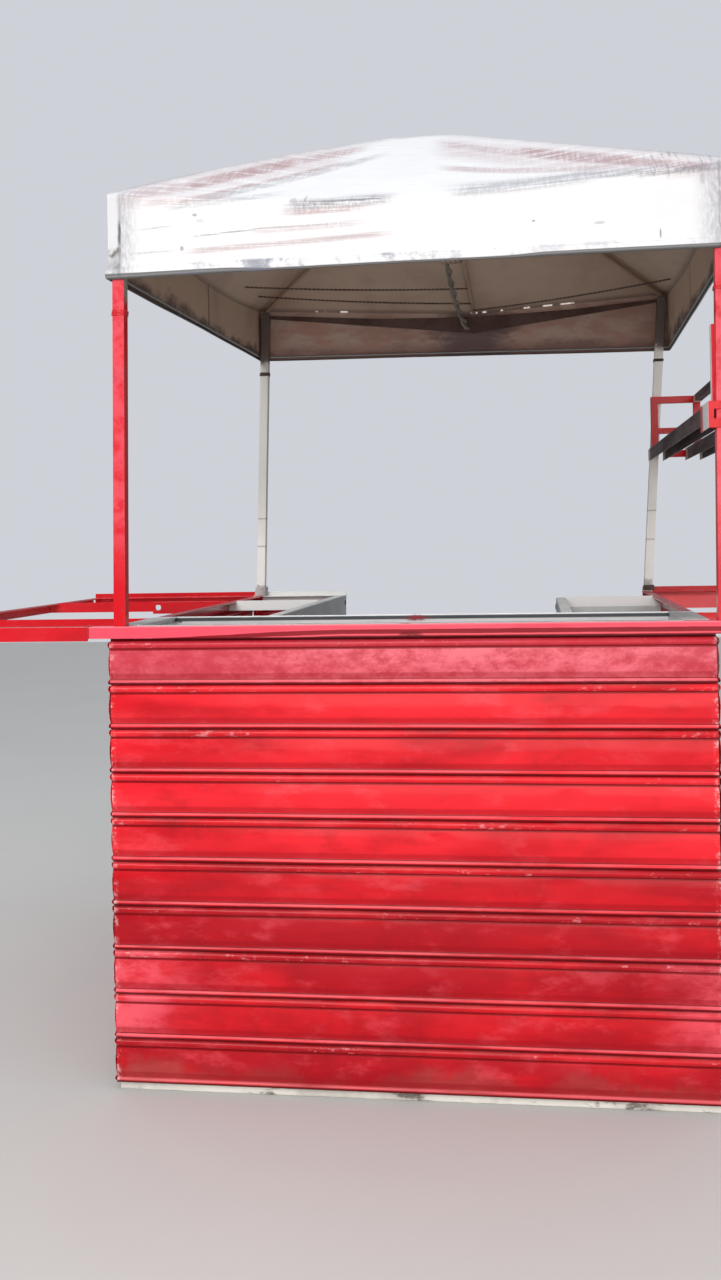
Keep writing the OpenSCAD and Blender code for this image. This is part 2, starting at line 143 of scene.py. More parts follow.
def fill(node, **inputs):
    """Fills a node's sockets by name. An underscore stands for a space in the name."""
    for key, value in inputs.items():
        put(node.inputs[key.replace("_", " ")], value)


def tree_of(values):
    """The tree that the first socket among the values belongs to."""
    return next(value for value in values if is_socket(value)).id_data


# %% Helpers for arithmetic
def calc(operation, *values, clamp=False):
    """A maths node, or one for each step from the left when there are more than two values."""
    if len(values) > 2:
        values = (calc(operation, *values[:-1]), values[-1])
    inputs = dict(enumerate(values))
    return made(tree_of(values), "ShaderNodeMath", inputs, operation=operation, use_clamp=clamp)


def plus(*values):
    return calc("ADD", *values)


def minus(a, b):
    return calc("SUBTRACT", a, b)


def times(*values):
    return calc("MULTIPLY", *values)


def vector_calc(operation, *values):
    node = add(tree_of(values), "ShaderNodeVectorMath", dict(enumerate(values)), operation=operation)
    return node.outputs["Value"] if operation in ("DOT_PRODUCT", "DISTANCE") else node.outputs[0]


def split(vector):
    """The X, Y and Z sockets of a vector."""
    return add(vector.id_data, "ShaderNodeSeparateXYZ", {0: vector}).outputs


def point(*values):
    """A vector from its X, Y and Z, at least one of them a socket."""
    return made(tree_of(values), "ShaderNodeCombineXYZ", dict(enumerate(values)))


def ramp(value, low, high, start=0.0, end=1.0):
    """A soft step from start to end as value goes from low to high."""
    inputs = {0: value, 1: low, 2: high, 3: start, 4: end}
    return made(value.id_data, "ShaderNodeMapRange", inputs, interpolation_type="SMOOTHSTEP")


def band(value, low, high, soft):
    """1 between low and high, fading over soft at both ends."""
    rise = ramp(value, low - soft / 2, low + soft / 2)
    return times(rise, ramp(value, high + soft / 2, high - soft / 2))


def oval(across, up, centre, size):
    """0 in the centre and 1 on an oval's border. Size is its half width and half height."""
    dx = calc("DIVIDE", minus(across, centre[0]), size[0])
    dy = calc("DIVIDE", minus(up, centre[1]), size[1])
    return plus(times(dx, dx), times(dy, dy))


# %% Helpers for colour, noise and places
def blend(factor, a, b):
    """Mixes two colours. Returns the colour socket."""
    node = add(factor.id_data, "ShaderNodeMix", {0: factor}, data_type="RGBA", blend_type="MIX")
    for index, colour in ((6, a), (7, b)):
        put(node.inputs[index], colour if is_socket(colour) else (*colour[:3], 1.0))
    return node.outputs[2]


def noise(place, scale, detail=3.0, roughness=0.55, seed=0.0, distortion=0.0):
    inputs = {"Vector": place, "W": seed, "Scale": scale, "Detail": detail, "Roughness": roughness,
        "Distortion": distortion}
    return made(place.id_data, "ShaderNodeTexNoise", inputs, noise_dimensions="4D")


def stretched(place, factors):
    """The same place with each axis scaled, so that a round noise becomes a streak."""
    return made(place.id_data, "ShaderNodeMapping", {"Vector": place, "Scale": factors})


def surface_normal(tree):
    return add(tree, "ShaderNodeNewGeometry").outputs["Normal"]


def stored(tree, name):
    """A number that the mesh keeps for each of its points."""
    return add(tree, "ShaderNodeAttribute", attribute_name=name).outputs["Fac"]


def bump(height, strength, distance, normal=None):
    inputs = {"Strength": strength, "Distance": distance, "Height": height}
    if normal is not None:
        inputs["Normal"] = normal
    return made(height.id_data, "ShaderNodeBump", inputs)


# %% Helpers for groups
FLOAT, COLOUR, VECTOR = "NodeSocketFloat", "NodeSocketColor", "NodeSocketVector"
INT, OBJECT, MATERIAL = "NodeSocketInt", "NodeSocketObject", "NodeSocketMaterial"


def new_group(name, inputs, outputs, kind="ShaderNodeTree"):
    """A node group with named sockets. Returns the tree, its inputs and its output node."""
    tree = bpy.data.node_groups.new(name, kind)
    for label, socket_type, value in inputs:
        socket = tree.interface.new_socket(label, in_out="INPUT", socket_type=socket_type)
        if value is not None:
            socket.default_value = value
    for label, socket_type in outputs:
        tree.interface.new_socket(label, in_out="OUTPUT", socket_type=socket_type)
    return tree, tree.nodes.new("NodeGroupInput").outputs, tree.nodes.new("NodeGroupOutput")


def use_group(group, **values):
    node = add(tree_of(values.values()), "ShaderNodeGroup", node_tree=group)
    fill(node, **values)
    return node.outputs


# %% [markdown]
# ## Effects that several finishes share
#
# Wear follows a few rules, whatever it wears. Paint goes first along edges. It chips in small islands
# with hard borders. Dust settles on what faces up, and rain splashes dirt onto the lowest hand's
# width. Each rule is one node group with its own named inputs, so that red paint, white paint and
# bare sheet can use the same rule at different strengths.

# %% Edge wear
def edge_wear_group():
    """A mask that is 1 along edges, broken up by noise. The Bevel node finds the edges."""
    tree, given, out = new_group("edge wear",
        [("Place", VECTOR, None), ("Width", FLOAT, 0.002), ("Amount", FLOAT, 0.5), ("Grain", FLOAT, 60.0)],
        [("Mask", FLOAT)])
    rounded = made(tree, "ShaderNodeBevel", {"Radius": given["Width"]}, samples=4)
    alike = vector_calc("DOT_PRODUCT", rounded, surface_normal(tree))
    edge = ramp(alike, 0.995, 0.90)
    grain = noise(given["Place"], given["Grain"], detail=5.0, roughness=0.7)
    broken = plus(grain, minus(given["Amount"], 1.0))
    fill(out, Mask=times(edge, ramp(broken, 0.0, 0.12)))
    return tree


# %% Chips, dust and splashes
def chips_group():
    """Small islands with hard borders, where paint has come off."""
    tree, given, out = new_group("paint chips",
        [("Place", VECTOR, None), ("Size", FLOAT, 90.0), ("Amount", FLOAT, 0.3), ("Seed", FLOAT, 0.0)],
        [("Mask", FLOAT)])
    fine = noise(given["Place"], given["Size"], detail=2.0, roughness=0.6, seed=given["Seed"])
    broad = noise(given["Place"], 3.5, detail=2.0, seed=given["Seed"])
    reach = times(ramp(broad, 0.5, 0.75), given["Amount"])
    level = minus(0.80, times(reach, 0.25))
    fill(out, Mask=ramp(minus(fine, level), 0.0, 0.02))
    return tree


def dust_group():
    """Dust on faces that look up, and dirt splashed up from the ground."""
    tree, given, out = new_group("dust and splashes",
        [("Place", VECTOR, None), ("Dust", FLOAT, 0.4), ("Splash", FLOAT, 0.5), ("Height", FLOAT, 0.12)],
        [("Dust", FLOAT), ("Splash", FLOAT)])
    facing = split(surface_normal(tree))
    place = split(given["Place"])
    cloud = noise(given["Place"], 9.0, detail=5.0, roughness=0.65)
    up = times(ramp(facing["Z"], 0.3, 0.95), ramp(cloud, 0.3, 0.65))
    fill(out, Dust=times(up, given["Dust"]))
    ragged = times(given["Height"], plus(times(cloud, 2.2), -0.3))
    low = ramp(minus(place["Z"], ragged), 0.0, -0.05)
    fill(out, Splash=times(low, given["Splash"]))
    return tree


EDGE_WEAR = edge_wear_group()
CHIPS = chips_group()
DUST = dust_group()
print("Shared effects:", [g.name for g in (EDGE_WEAR, CHIPS, DUST)])


# %% Start a material
def new_material(name, **constants):
    """A material with one Principled shader. Constants go on the shader's own sockets."""
    material = bpy.data.materials.new(name)
    material.use_nodes = True
    shader = material.node_tree.nodes["Principled BSDF"]
    fill(shader, **constants)
    return material, shader, add(material.node_tree, "ShaderNodeTexCoord").outputs["Object"]


def reopened(material):
    """A finished material's shader, its place, and its colour so far, to paint over."""
    shader = material.node_tree.nodes["Principled BSDF"]
    place = add(material.node_tree, "ShaderNodeTexCoord").outputs["Object"]
    return shader, place, shader.inputs["Base Color"].links[0].from_socket


# %% [markdown]
# ## Brushed oil paint
#
# The red is gloss oil paint put on by brush over old sheet, in more than one go. Three things make it
# read as that. Its colour drifts between scarlet and crimson in patches a hand wide. Long brush marks
# run along each piece. And other patches have faded towards pink. The three are one group, because the
# laths, the bars and the posts share it.

# %% Brushed paint group
def brushed_paint_group():
    tree, given, out = new_group("brushed paint",
        [("Place", VECTOR, None), ("Streaks", VECTOR, (2.0, 14.0, 60.0)), ("Paint", COLOUR, None),
         ("Deep", COLOUR, None), ("Faded", COLOUR, None), ("Patchiness", FLOAT, 0.6),
         ("Fading", FLOAT, 0.4), ("Seed", FLOAT, 0.0)],
        [("Colour", COLOUR), ("Roughness", FLOAT), ("Height", FLOAT)])
    along = vector_calc("MULTIPLY", given["Place"], given["Streaks"])
    brush = noise(along, 1.6, detail=4.0, roughness=0.6, seed=given["Seed"])
    patch = noise(given["Place"], 5.5, detail=4.0, roughness=0.6, seed=given["Seed"], distortion=0.6)
    dark = times(ramp(patch, 0.46, 0.68), given["Patchiness"])
    light = times(ramp(patch, 0.47, 0.25), given["Fading"])
    colour = blend(dark, given["Paint"], given["Deep"])
    colour = blend(times(light, ramp(brush, 0.3, 0.7)), colour, given["Faded"])
    colour = blend(ramp(brush, 0.62, 0.80, 0.0, 0.30), colour, given["Deep"])
    fill(out, Colour=colour, Roughness=plus(times(brush, 0.16), times(patch, 0.22)), Height=brush)
    return tree


BRUSHED = brushed_paint_group()

SCARLET = (0.63, 0.010, 0.018, 1.0)
CRIMSON = (0.30, 0.004, 0.010, 1.0)
PINK_RED = (0.80, 0.055, 0.075, 1.0)
CHALK = (0.80, 0.52, 0.50, 1.0)
BARE_METAL = (0.22, 0.19, 0.17, 1.0)
MUD = (0.17, 0.14, 0.115, 1.0)
# The darkest red, for soot and for the shade in the laths' grooves.
SOOT_AND_SHADE = (0.10, 0.001, 0.003, 1.0)


# %% Red paint on the bars and posts
def red_paint(name, streaks, paint=SCARLET, chips=0.5, wear=0.35, fading=0.4, patchiness=0.6, seed=0.0,
        **constants):
    """Gloss red paint. Returns the material, its shader, and the place and the colour to build on."""
    material, shader, place = new_material(name, **constants)
    coat = use_group(BRUSHED, Place=place, Streaks=streaks, Paint=paint, Deep=CRIMSON, Faded=PINK_RED,
        Patchiness=patchiness, Fading=fading, Seed=seed)
    chip = use_group(CHIPS, Place=place, Amount=chips, Size=130.0, Seed=seed)
    dirt = use_group(DUST, Place=place, Dust=0.22, Splash=0.35, Height=0.10)
    worn = times(chip["Mask"], 0.8)
    if wear:
        edge = use_group(EDGE_WEAR, Place=place, Width=0.0016, Amount=wear, Grain=55.0)
        worn = calc("MAXIMUM", times(edge["Mask"], 0.7), worn)
    colour = blend(worn, coat["Colour"], CHALK)
    colour = blend(dirt["Dust"], colour, (0.45, 0.28, 0.26, 1.0))
    colour = blend(dirt["Splash"], colour, MUD)
    rough = plus(coat["Roughness"], times(dirt["Dust"], 0.5), times(chip["Mask"], 0.3))
    fill(shader, Base_Color=colour, Roughness=rough, Normal=bump(coat["Height"], 0.22, 0.0006))
    return material, shader, place, colour


BAR_STREAKS = (4.0, 4.0, 30.0)
BAR_PAINT = red_paint("red paint on bars", BAR_STREAKS, chips=0.35, wear=0.22, fading=0.5,
    patchiness=0.45, seed=3.0, Coat_Weight=0.2, Coat_Roughness=0.15, Specular_IOR_Level=0.4)[0]


def smudge(centre, size):
    """A soft oval with a ragged edge, in the stall's X and Z."""
    def mask(place, spot, facing):
        ragged = noise(place, 60.0, detail=4.0, roughness=0.7)
        return ramp(plus(oval(spot["X"], spot["Z"], centre, size), times(ragged, 2.4)), 2.2, 1.1)
    return mask


def front_bar_paint():
    """Faded pink, with a painted highlight on the top face and a painted highlight line low in front.
    Below a level that rises to the right, the lower edge is painted dark, for shade and dirt.
    """
    material, shader, place, colour = red_paint("sun-faded red on the front bar", (3.0, 4.0, 50.0),
        paint=(0.84, 0.085, 0.13, 1.0), chips=0.3, wear=0.5, fading=0.3, patchiness=0.25, seed=4.0,
        Coat_Weight=0.05, Coat_Roughness=0.2, Specular_IOR_Level=0.12)
    spot = split(place)
    ragged = noise(stretched(place, (4.0, 1.0, 20.0)), 3.0, detail=4.0, roughness=0.6)
    # Below a level that rises to the right, the lower edge is painted dark, for shade and dirt.
    level = plus(0.9305, ramp(spot["X"], -0.62, -0.10, 0.0, 0.0160))
    above = minus(spot["Z"], plus(level, times(minus(ragged, 0.5), 0.003)))
    colour = blend(ramp(above, 0.0008, -0.0008, 0.0, 0.92), colour, (0.20, 0.003, 0.008))
    # A painted highlight line along the lower edge.
    line = times(band(above, -0.0124, -0.0088, 0.0010), ramp(spot["X"], -0.5, -0.2))
    colour = blend(times(line, 0.85), colour, (0.85, 0.10, 0.13))
    patch = smudge((0.015, 0.937), (0.030, 0.008))(place, spot, None)
    colour = blend(times(patch, 0.8), colour, (0.13, 0.004, 0.006))
    # A painted highlight on the top face.
    top = ramp(spot["Z"], 0.9535, 0.9560, 0.0, 0.7)
    colour = blend(top, colour, (0.90, 0.22, 0.27))
    fill(shader, Base_Color=colour)
    return material


FRONT_BAR_PAINT = front_bar_paint()


# %% [markdown]
# The lath paint starts from the same coat and then uses one thing that only the laths have: each point
# knows its own height on the lath's profile, because the geometry below stores it as "phase". The
# groove at the joint, the underside of the hook and the crease under the bead are painted dark, for
# soot and for the shade in them, and the undercut low on each face is painted darker as shade. A
# painted highlight runs along the roll's shoulder, and hands and cloths wear the bead pale. And each
# lath was painted on its own, so each has its own tone.

# %% Red paint on the laths
LATH_PITCH = 0.091
LATH_FOOT = 0.024
CREASE = LATH_PITCH - 0.025


def lath_paint():
    material, shader, place, colour = red_paint("red paint on laths", (1.2, 3.0, 34.0), chips=0.25,
        wear=0.0, fading=0.8, patchiness=0.5, Coat_Weight=0.05, Coat_Roughness=0.2, Specular_IOR_Level=0.15)
    tree = material.node_tree
    phase = stored(tree, "phase")
    spot = split(place)
    lath = calc("ROUND", calc("DIVIDE", minus(minus(spot["Z"], LATH_FOOT), phase), LATH_PITCH))
    own = made(tree, "ShaderNodeTexWhiteNoise", {"W": plus(lath, 3.0)}, noise_dimensions="1D")
    cloud = noise(stretched(place, (0.8, 0.8, 4.0)), 2.6, detail=4.0, seed=times(lath, 1.3))
    tone = plus(times(own, 0.25), times(cloud, 1.3))
    tone = plus(tone, ramp(lath, 5.4, 3.6, -0.05, 0.22))
    colour = blend(ramp(tone, 0.86, 1.12, 0.0, 0.60), colour, CRIMSON)
    bright = times(ramp(tone, 0.92, 0.62), 0.75)
    colour = blend(bright, colour, (0.88, 0.022, 0.034))
    mottle = noise(stretched(place, (1.0, 1.0, 2.2)), 9.0, detail=5.0, roughness=0.65,
        seed=times(lath, 1.7))
    colour = blend(ramp(mottle, 0.52, 0.70, 0.0, 0.30), colour, (0.88, 0.11, 0.14))
    colour = blend(ramp(mottle, 0.44, 0.30, 0.0, 0.30), colour, CRIMSON)
    out = calc("ABSOLUTE", plus(spot["X"], -0.03))
    blot = times(ramp(out, 0.42, 0.62), band(lath, 0.5, 2.5, 0.2))
    blot = times(blot, ramp(mottle, 0.40, 0.60, 0.2, 1.0))
    colour = blend(times(blot, 0.75), colour, (0.88, 0.12, 0.16))
    is_top = ramp(lath, 8.4, 8.6)
    top_bead = times(is_top, ramp(phase, CREASE - 0.002, CREASE + 0.002))
    colour = blend(times(top_bead, 0.75), colour, (0.46, 0.020, 0.035))
    speck = noise(stretched(place, (1.0, 1.0, 1.6)), 26.0, detail=6.0, roughness=0.7, seed=5.0)
    is_top = times(is_top, ramp(phase, CREASE + 0.002, CREASE - 0.002, 0.15, 1.0))
    colour = blend(times(is_top, 0.8), colour, (0.46, 0.050, 0.075))
    pale = ramp(plus(times(speck, 0.55), times(cloud, 0.45)), 0.42, 0.60)
    pale = times(pale, ramp(spot["X"], -0.50, -0.05, 0.45, 1.0))
    colour = blend(times(pale, is_top, 0.85), colour, (0.82, 0.16, 0.20))
    # The undercut low on each face, which looks down, is painted darker as shade.
    low = times(band(phase, 0.0035, 0.0165, 0.004), 0.45)
    colour = blend(low, colour, CRIMSON)
    # A painted highlight along the roll's shoulder, broken up by noise.
    shine = noise(stretched(place, (1.0, 1.0, 0.2)), 6.0, detail=3.0)
    lip_highlight = times(band(phase, -0.0006, 0.0026, 0.0015), ramp(shine, 0.30, 0.55, 0.05, 0.6))
    colour = blend(lip_highlight, colour, (0.90, 0.13, 0.16))
    rub = noise(stretched(place, (1.0, 1.0, 2.0)), 55.0, detail=4.0, roughness=0.7)
    often = noise(stretched(place, (1.0, 1.0, 0.1)), 5.0, detail=1.0, seed=times(lath, 2.1))
    rub = plus(rub, times(minus(often, 0.5), 0.5))
    scuffed = times(band(phase, CREASE + 0.003, CREASE + 0.014, 0.003), ramp(rub, 0.62, 0.74, 0.0, 0.55))
    colour = blend(scuffed, colour, (0.85, 0.34, 0.37))
    scrape = noise(stretched(place, (3.0, 3.0, 26.0)), 3.4, detail=6.0, roughness=0.7, seed=8.0)
    colour = blend(ramp(scrape, 0.67, 0.76, 0.0, 0.55), colour, (0.88, 0.20, 0.23))
    end = ramp(calc("ABSOLUTE", spot["X"]), 0.597, 0.610)
    front = ramp(spot["Y"], -0.66, -0.664)
    fray = noise(place, 60.0, detail=5.0, roughness=0.75)
    worn = times(end, front, ramp(fray, 0.48, 0.62, 0.0, 0.75))
    colour = blend(worn, colour, (0.78, 0.50, 0.50))
    # The crease under the bead, the groove and the hook's underside are painted dark, for soot and for the
    # shade in them.
    crease = band(phase, CREASE - 0.0022, CREASE + 0.0036, 0.0018)
    colour = blend(times(crease, 0.85), colour, (0.20, 0.001, 0.004))
    groove = band(phase, CREASE + 0.0165, LATH_PITCH + 0.02, 0.002)
    hook = ramp(phase, -0.0014, -0.0030)
    colour = blend(times(calc("MAXIMUM", groove, hook), 0.90), colour, SOOT_AND_SHADE)
    fill(shader, Base_Color=colour)
    return material


LATH_PAINT = lath_paint()


# %% Red paint on the posts
def post_paint():
    """The same paint, paler from the counter up and bare at the head of the faces that look right."""
    material, shader, place, colour = red_paint("red paint on posts", (40.0, 40.0, 3.0), chips=0.3,
        wear=0.12, fading=0.7, patchiness=0.3, seed=6.0, Coat_Weight=0.08, Coat_Roughness=0.18,
        Specular_IOR_Level=0.25)
    spot = split(place)
    facing = split(surface_normal(material.node_tree))
    ragged = noise(place, 30.0, detail=4.0, roughness=0.7)
    bare = times(ramp(facing["X"], 0.4, 0.8), ramp(plus(spot["Z"], times(ragged, 0.10)), 1.66, 1.70))
    colour = blend(bare, colour, (0.33, 0.31, 0.28))
    pale = times(ramp(spot["Z"], 1.02, 1.20), ramp(facing["X"], 0.5, 0.1, 0.0, 0.6))
    colour = blend(times(pale, ramp(ragged, 0.30, 0.60)), colour, (0.82, 0.12, 0.16))
    shade = times(ramp(facing["X"], 0.3, 0.9), 0.10)
    colour = blend(times(shade, ramp(bare, 0.9, 0.1)), colour, CRIMSON)
    fill(shader, Base_Color=colour)
    return material


POST_PAINT = post_paint()
print("Red paints:", [m.name for m in (BAR_PAINT, FRONT_BAR_PAINT, LATH_PAINT, POST_PAINT)])


# %% White and cream paint
def pale_paint(name, paint, dirt_colour, splash=0.7, wear=0.5, chips=0.6, seed=0.0, height=0.12,
        **constants):
    material, shader, place = new_material(name, **constants)
    coat = use_group(BRUSHED, Place=place, Streaks=(6.0, 6.0, 9.0), Paint=paint, Deep=dirt_colour,
        Faded=tuple(min(1.0, c * 1.12) for c in paint[:3]) + (1.0,), Patchiness=0.35, Fading=0.5, Seed=seed)
    edge = use_group(EDGE_WEAR, Place=place, Width=0.0025, Amount=wear, Grain=45.0)
    chip = use_group(CHIPS, Place=place, Amount=chips, Size=60.0, Seed=seed)
    dirt = use_group(DUST, Place=place, Dust=0.3, Splash=splash, Height=height)
    colour = blend(calc("MAXIMUM", edge["Mask"], chip["Mask"]), coat["Colour"], BARE_METAL)
    colour = blend(dirt["Dust"], colour, (0.40, 0.36, 0.31, 1.0))
    colour = blend(dirt["Splash"], colour, MUD)
    fill(shader, Base_Color=colour, Roughness=plus(coat["Roughness"], 0.18),
        Normal=bump(coat["Height"], 0.2, 0.0006))
    return material


RAIL_WHITE = pale_paint("white paint on bottom rails", (0.84, 0.81, 0.74, 1.0), (0.16, 0.11, 0.08, 1.0),
    splash=0.35, wear=0.6, chips=1.3, height=0.02)
WING_WHITE = pale_paint("white paint on wing bars", (0.95, 0.96, 0.95, 1.0), (0.84, 0.84, 0.81, 1.0),
    splash=0.3, wear=0.25, chips=0.4, seed=2.0)


def post_cream():
    """Cream paint that is whiter lower down. Inside the valance it was never put on, and the bare steel
    there is painted very dark, for the steel and for the shade under the canopy.
    """
    material = pale_paint("cream paint on rear posts", (0.95, 0.94, 0.91, 1.0), (0.82, 0.80, 0.76, 1.0),
        splash=0.2, wear=0.3, chips=0.5, seed=4.0)
    shader, place, colour = reopened(material)
    spot = split(place)
    ragged = times(minus(noise(place, 22.0, detail=5.0, roughness=0.7), 0.5), 0.10)
    height = plus(spot["Z"], ragged)
    left = ramp(spot["X"], 0.1, -0.1)
    colour = blend(times(ramp(height, 1.02, 1.35, 0.0, 0.65), left), colour, (0.46, 0.45, 0.42))
    for low, high in ((1.196, 1.200), (1.110, 1.114)):
        ring = times(band(spot["Z"], low, high, 0.004), 0.55)
        colour = blend(ring, colour, (0.16, 0.13, 0.12))
    colour = blend(ramp(height, 0.995, 0.975, 0.0, 0.8), colour, (0.26, 0.27, 0.23))
    # Inside the valance: bare steel, painted very dark also as shade under the canopy.
    colour = blend(ramp(height, 1.675, 1.70, 0.0, 0.92), colour, (0.085, 0.055, 0.045))
    fill(shader, Base_Color=colour)
    return material


POST_CREAM = post_cream()


def two_tone_rail():
    """The rear bar is red outside the body and white where it crosses the opening behind the counter."""
    material, shader, place, colour = red_paint("red and white rear bar", BAR_STREAKS,
        chips=0.35, wear=0.22, fading=0.5, patchiness=0.45, seed=9.0, Coat_Weight=0.2, Coat_Roughness=0.15,
        Specular_IOR_Level=0.4)
    spot = split(place)
    ragged = noise(place, 16.0, detail=5.0, roughness=0.7)
    inside = plus(calc("ABSOLUTE", spot["X"]), times(ragged, 0.06))
    colour = blend(ramp(inside, 0.640, 0.632), colour, (0.88, 0.89, 0.87))
    fill(shader, Base_Color=colour)
    return material


REAR_BAR_PAINT = two_tone_rail()


# %% [markdown]
# ## Bare metal
#
# The tray and the sheets inside the wings are galvanised steel. Zinc isn't one grey: its crystals
# each turn the light a little differently, and it dulls to a chalky bloom where water stands. The rods
# under the canopy are mild steel that was painted long ago and has gone brown and dull.

# %% Galvanised sheet
def zinc_sheet(name, tone, bloom, seed=0.0, **constants):
    material, shader, place = new_material(name, **constants)
    tree = material.node_tree
    crystal = add(tree, "ShaderNodeTexVoronoi", {"Vector": place, "Scale": 55.0, "Randomness": 1.0})
    value = made(tree, "ShaderNodeSeparateColor", {0: crystal.outputs["Color"]})
    cloud = noise(place, 7.0, detail=5.0, roughness=0.65, seed=seed)
    colour = blend(times(value, 0.35), tone, bloom)
    colour = blend(ramp(cloud, 0.42, 0.70, 0.0, 0.75), colour, bloom)
    dirt = use_group(DUST, Place=place, Dust=0.35, Splash=0.6, Height=0.10)
    colour = blend(dirt["Dust"], colour, (0.34, 0.31, 0.27, 1.0))
    colour = blend(dirt["Splash"], colour, MUD)
    rough = plus(0.30, times(ramp(cloud, 0.35, 0.70), 0.35), times(value, 0.06))
    fill(shader, Base_Color=colour, Roughness=rough, Normal=bump(cloud, 0.15, 0.002))
    return material


def marked(material, marks):
    """Paints marks over a finished material. Each mark is a function that makes a mask, and a colour."""
    shader, place, colour = reopened(material)
    spot = split(place)
    facing = split(surface_normal(material.node_tree))
    for mask, paint in marks:
        colour = blend(mask(place, spot, facing), colour, paint)
    fill(shader, Base_Color=colour)
    return material


def level(low, high, soft, strength):
    """A line along the tray's rear wall, between two heights."""
    def mask(place, spot, facing):
        wall = times(ramp(spot["Y"], -0.42, -0.41), strength)
        return times(band(spot["Z"], low, high, soft), wall)
    return mask


ZINC = zinc_sheet("galvanised sheet", (0.46, 0.48, 0.49, 1.0), (0.64, 0.66, 0.66, 1.0), Metallic=0.75)
# On the tray's rear wall: a painted reflection of the sky on the wall, a painted shade band under the top
# edge, a painted highlight along the top edge, a red stain and a dark spot.
TRAY_SHADING_AND_MARKS = [(level(0.900, 0.9535, 0.002, 0.6), (0.62, 0.59, 0.60)),
    (level(0.9475, 0.9555, 0.0030, 0.95), (0.035, 0.042, 0.047)),
    (level(0.9562, 0.960, 0.001, 0.9), (0.85, 0.85, 0.86)),
    (smudge((0.003, 0.950), (0.038, 0.009)), (0.24, 0.03, 0.04)),
    (smudge((-0.543, 0.949), (0.008, 0.006)), (0.07, 0.07, 0.07))]
TRAY_ZINC = marked(zinc_sheet("galvanised sheet of the tray", (0.50, 0.50, 0.51, 1.0),
    (0.70, 0.69, 0.69, 1.0), seed=2.0, Metallic=0.6), TRAY_SHADING_AND_MARKS)
HEM_STEEL = zinc_sheet("dull steel of the hem rods", (0.30, 0.31, 0.32, 1.0), (0.42, 0.42, 0.41, 1.0),
    seed=5.0, Metallic=0.55)


# %% Brown rods and grimy rails
def dull_paint(name, paint, rust, amount=0.5, seed=0.0, streaks=(5.0, 5.0, 5.0), **constants):
    material, shader, place = new_material(name, **constants)
    along = vector_calc("MULTIPLY", place, streaks)
    cloud = noise(along, 2.4, detail=6.0, roughness=0.65, seed=seed)
    fine = noise(place, 120.0, detail=3.0, seed=seed)
    edge = use_group(EDGE_WEAR, Place=place, Width=0.002, Amount=amount, Grain=50.0)
    colour = blend(ramp(cloud, 0.42, 0.66), paint, rust)
    colour = blend(times(edge["Mask"], 0.6), colour, (0.30, 0.27, 0.25, 1.0))
    colour = blend(ramp(fine, 0.55, 0.8, 0.0, 0.35), colour, (0.05, 0.035, 0.03, 1.0))
    fill(shader, Base_Color=colour, Roughness=ramp(cloud, 0.3, 0.7, 0.55, 0.85),
        Normal=bump(fine, 0.25, 0.0008))
    return material


ROD_BROWN = dull_paint("brown steel under the canopy", (0.095, 0.050, 0.040, 1.0),
    (0.060, 0.030, 0.024, 1.0), amount=0.3)
ROD_TAN = dull_paint("tan rafters under the canopy", (0.46, 0.33, 0.235, 1.0), (0.36, 0.26, 0.185, 1.0),
    amount=0.1)
RAIL_GRIME = dull_paint("grimy paint on rack rails", (0.115, 0.085, 0.085, 1.0), (0.06, 0.030, 0.030, 1.0),
    amount=0.5, seed=2.0, streaks=(8.0, 1.5, 8.0))


def bracket_side(place, spot, facing):
    """The front bracket's left side is still primed white."""
    side = times(ramp(facing["X"], -0.5, -0.9), ramp(spot["Y"], -0.60, -0.62))
    return times(side, ramp(noise(place, 45.0, detail=4.0), 0.70, 0.62))


def rail_end(place, spot, facing):
    """The rails' rear ends, where the paint stops."""
    return times(ramp(spot["Y"], 0.595, 0.61), ramp(facing["Z"], 0.5, 0.2, 0.0, 0.9))


def rail_patches(place, spot, facing):
    """Where the white has gone from the bottom rails."""
    patches = noise(stretched(place, (1.0, 1.0, 2.5)), 11.0, detail=5.0, roughness=0.7)
    return ramp(patches, 0.54, 0.64, 0.0, 0.85)


RAIL_WHITE = marked(RAIL_WHITE, [(rail_patches, (0.10, 0.075, 0.055))])
FRAME_PAINT = marked(red_paint("red paint on rack frames", BAR_STREAKS, chips=0.4, wear=0.2,
    fading=0.35, patchiness=0.6, seed=11.0, Coat_Weight=0.05, Coat_Roughness=0.15,
    Specular_IOR_Level=0.2)[0], [(bracket_side, (0.95, 0.93, 0.92))])
RAIL_GRIME = marked(RAIL_GRIME, [(rail_end, (0.66, 0.57, 0.48))])

# %% [markdown]
# ## Giving the CAD nodes their finish
#
# A CAD node keeps its mesh, so its edges are still knife sharp, and nothing real is. Three modifiers
# put that right without touching the mesh below them: Weld joins the loose triangles, a planar
# Decimate turns them back into whole faces, and Bevel rounds the edges by under a millimetre, about
# what rolling and paint leave on angle iron.

# %% Round the edges and paint the bars
ROUNDING = 0.0009


def finish_node(name, material):
    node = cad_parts[name]
    node.data.materials.clear()
    node.data.materials.append(material)
    weld = node.modifiers.new("join triangles", "WELD")
    weld.merge_threshold = 0.00001
    whole = node.modifiers.new("whole faces", "DECIMATE")
    whole.decimate_type = "DISSOLVE"
    whole.angle_limit = math.radians(1.0)
    edge = node.modifiers.new("rounded edges", "BEVEL")
    edge.width = ROUNDING
    edge.segments = 2
    edge.limit_method = "ANGLE"
    edge.angle_limit = math.radians(40.0)
    edge.harden_normals = False
    return node


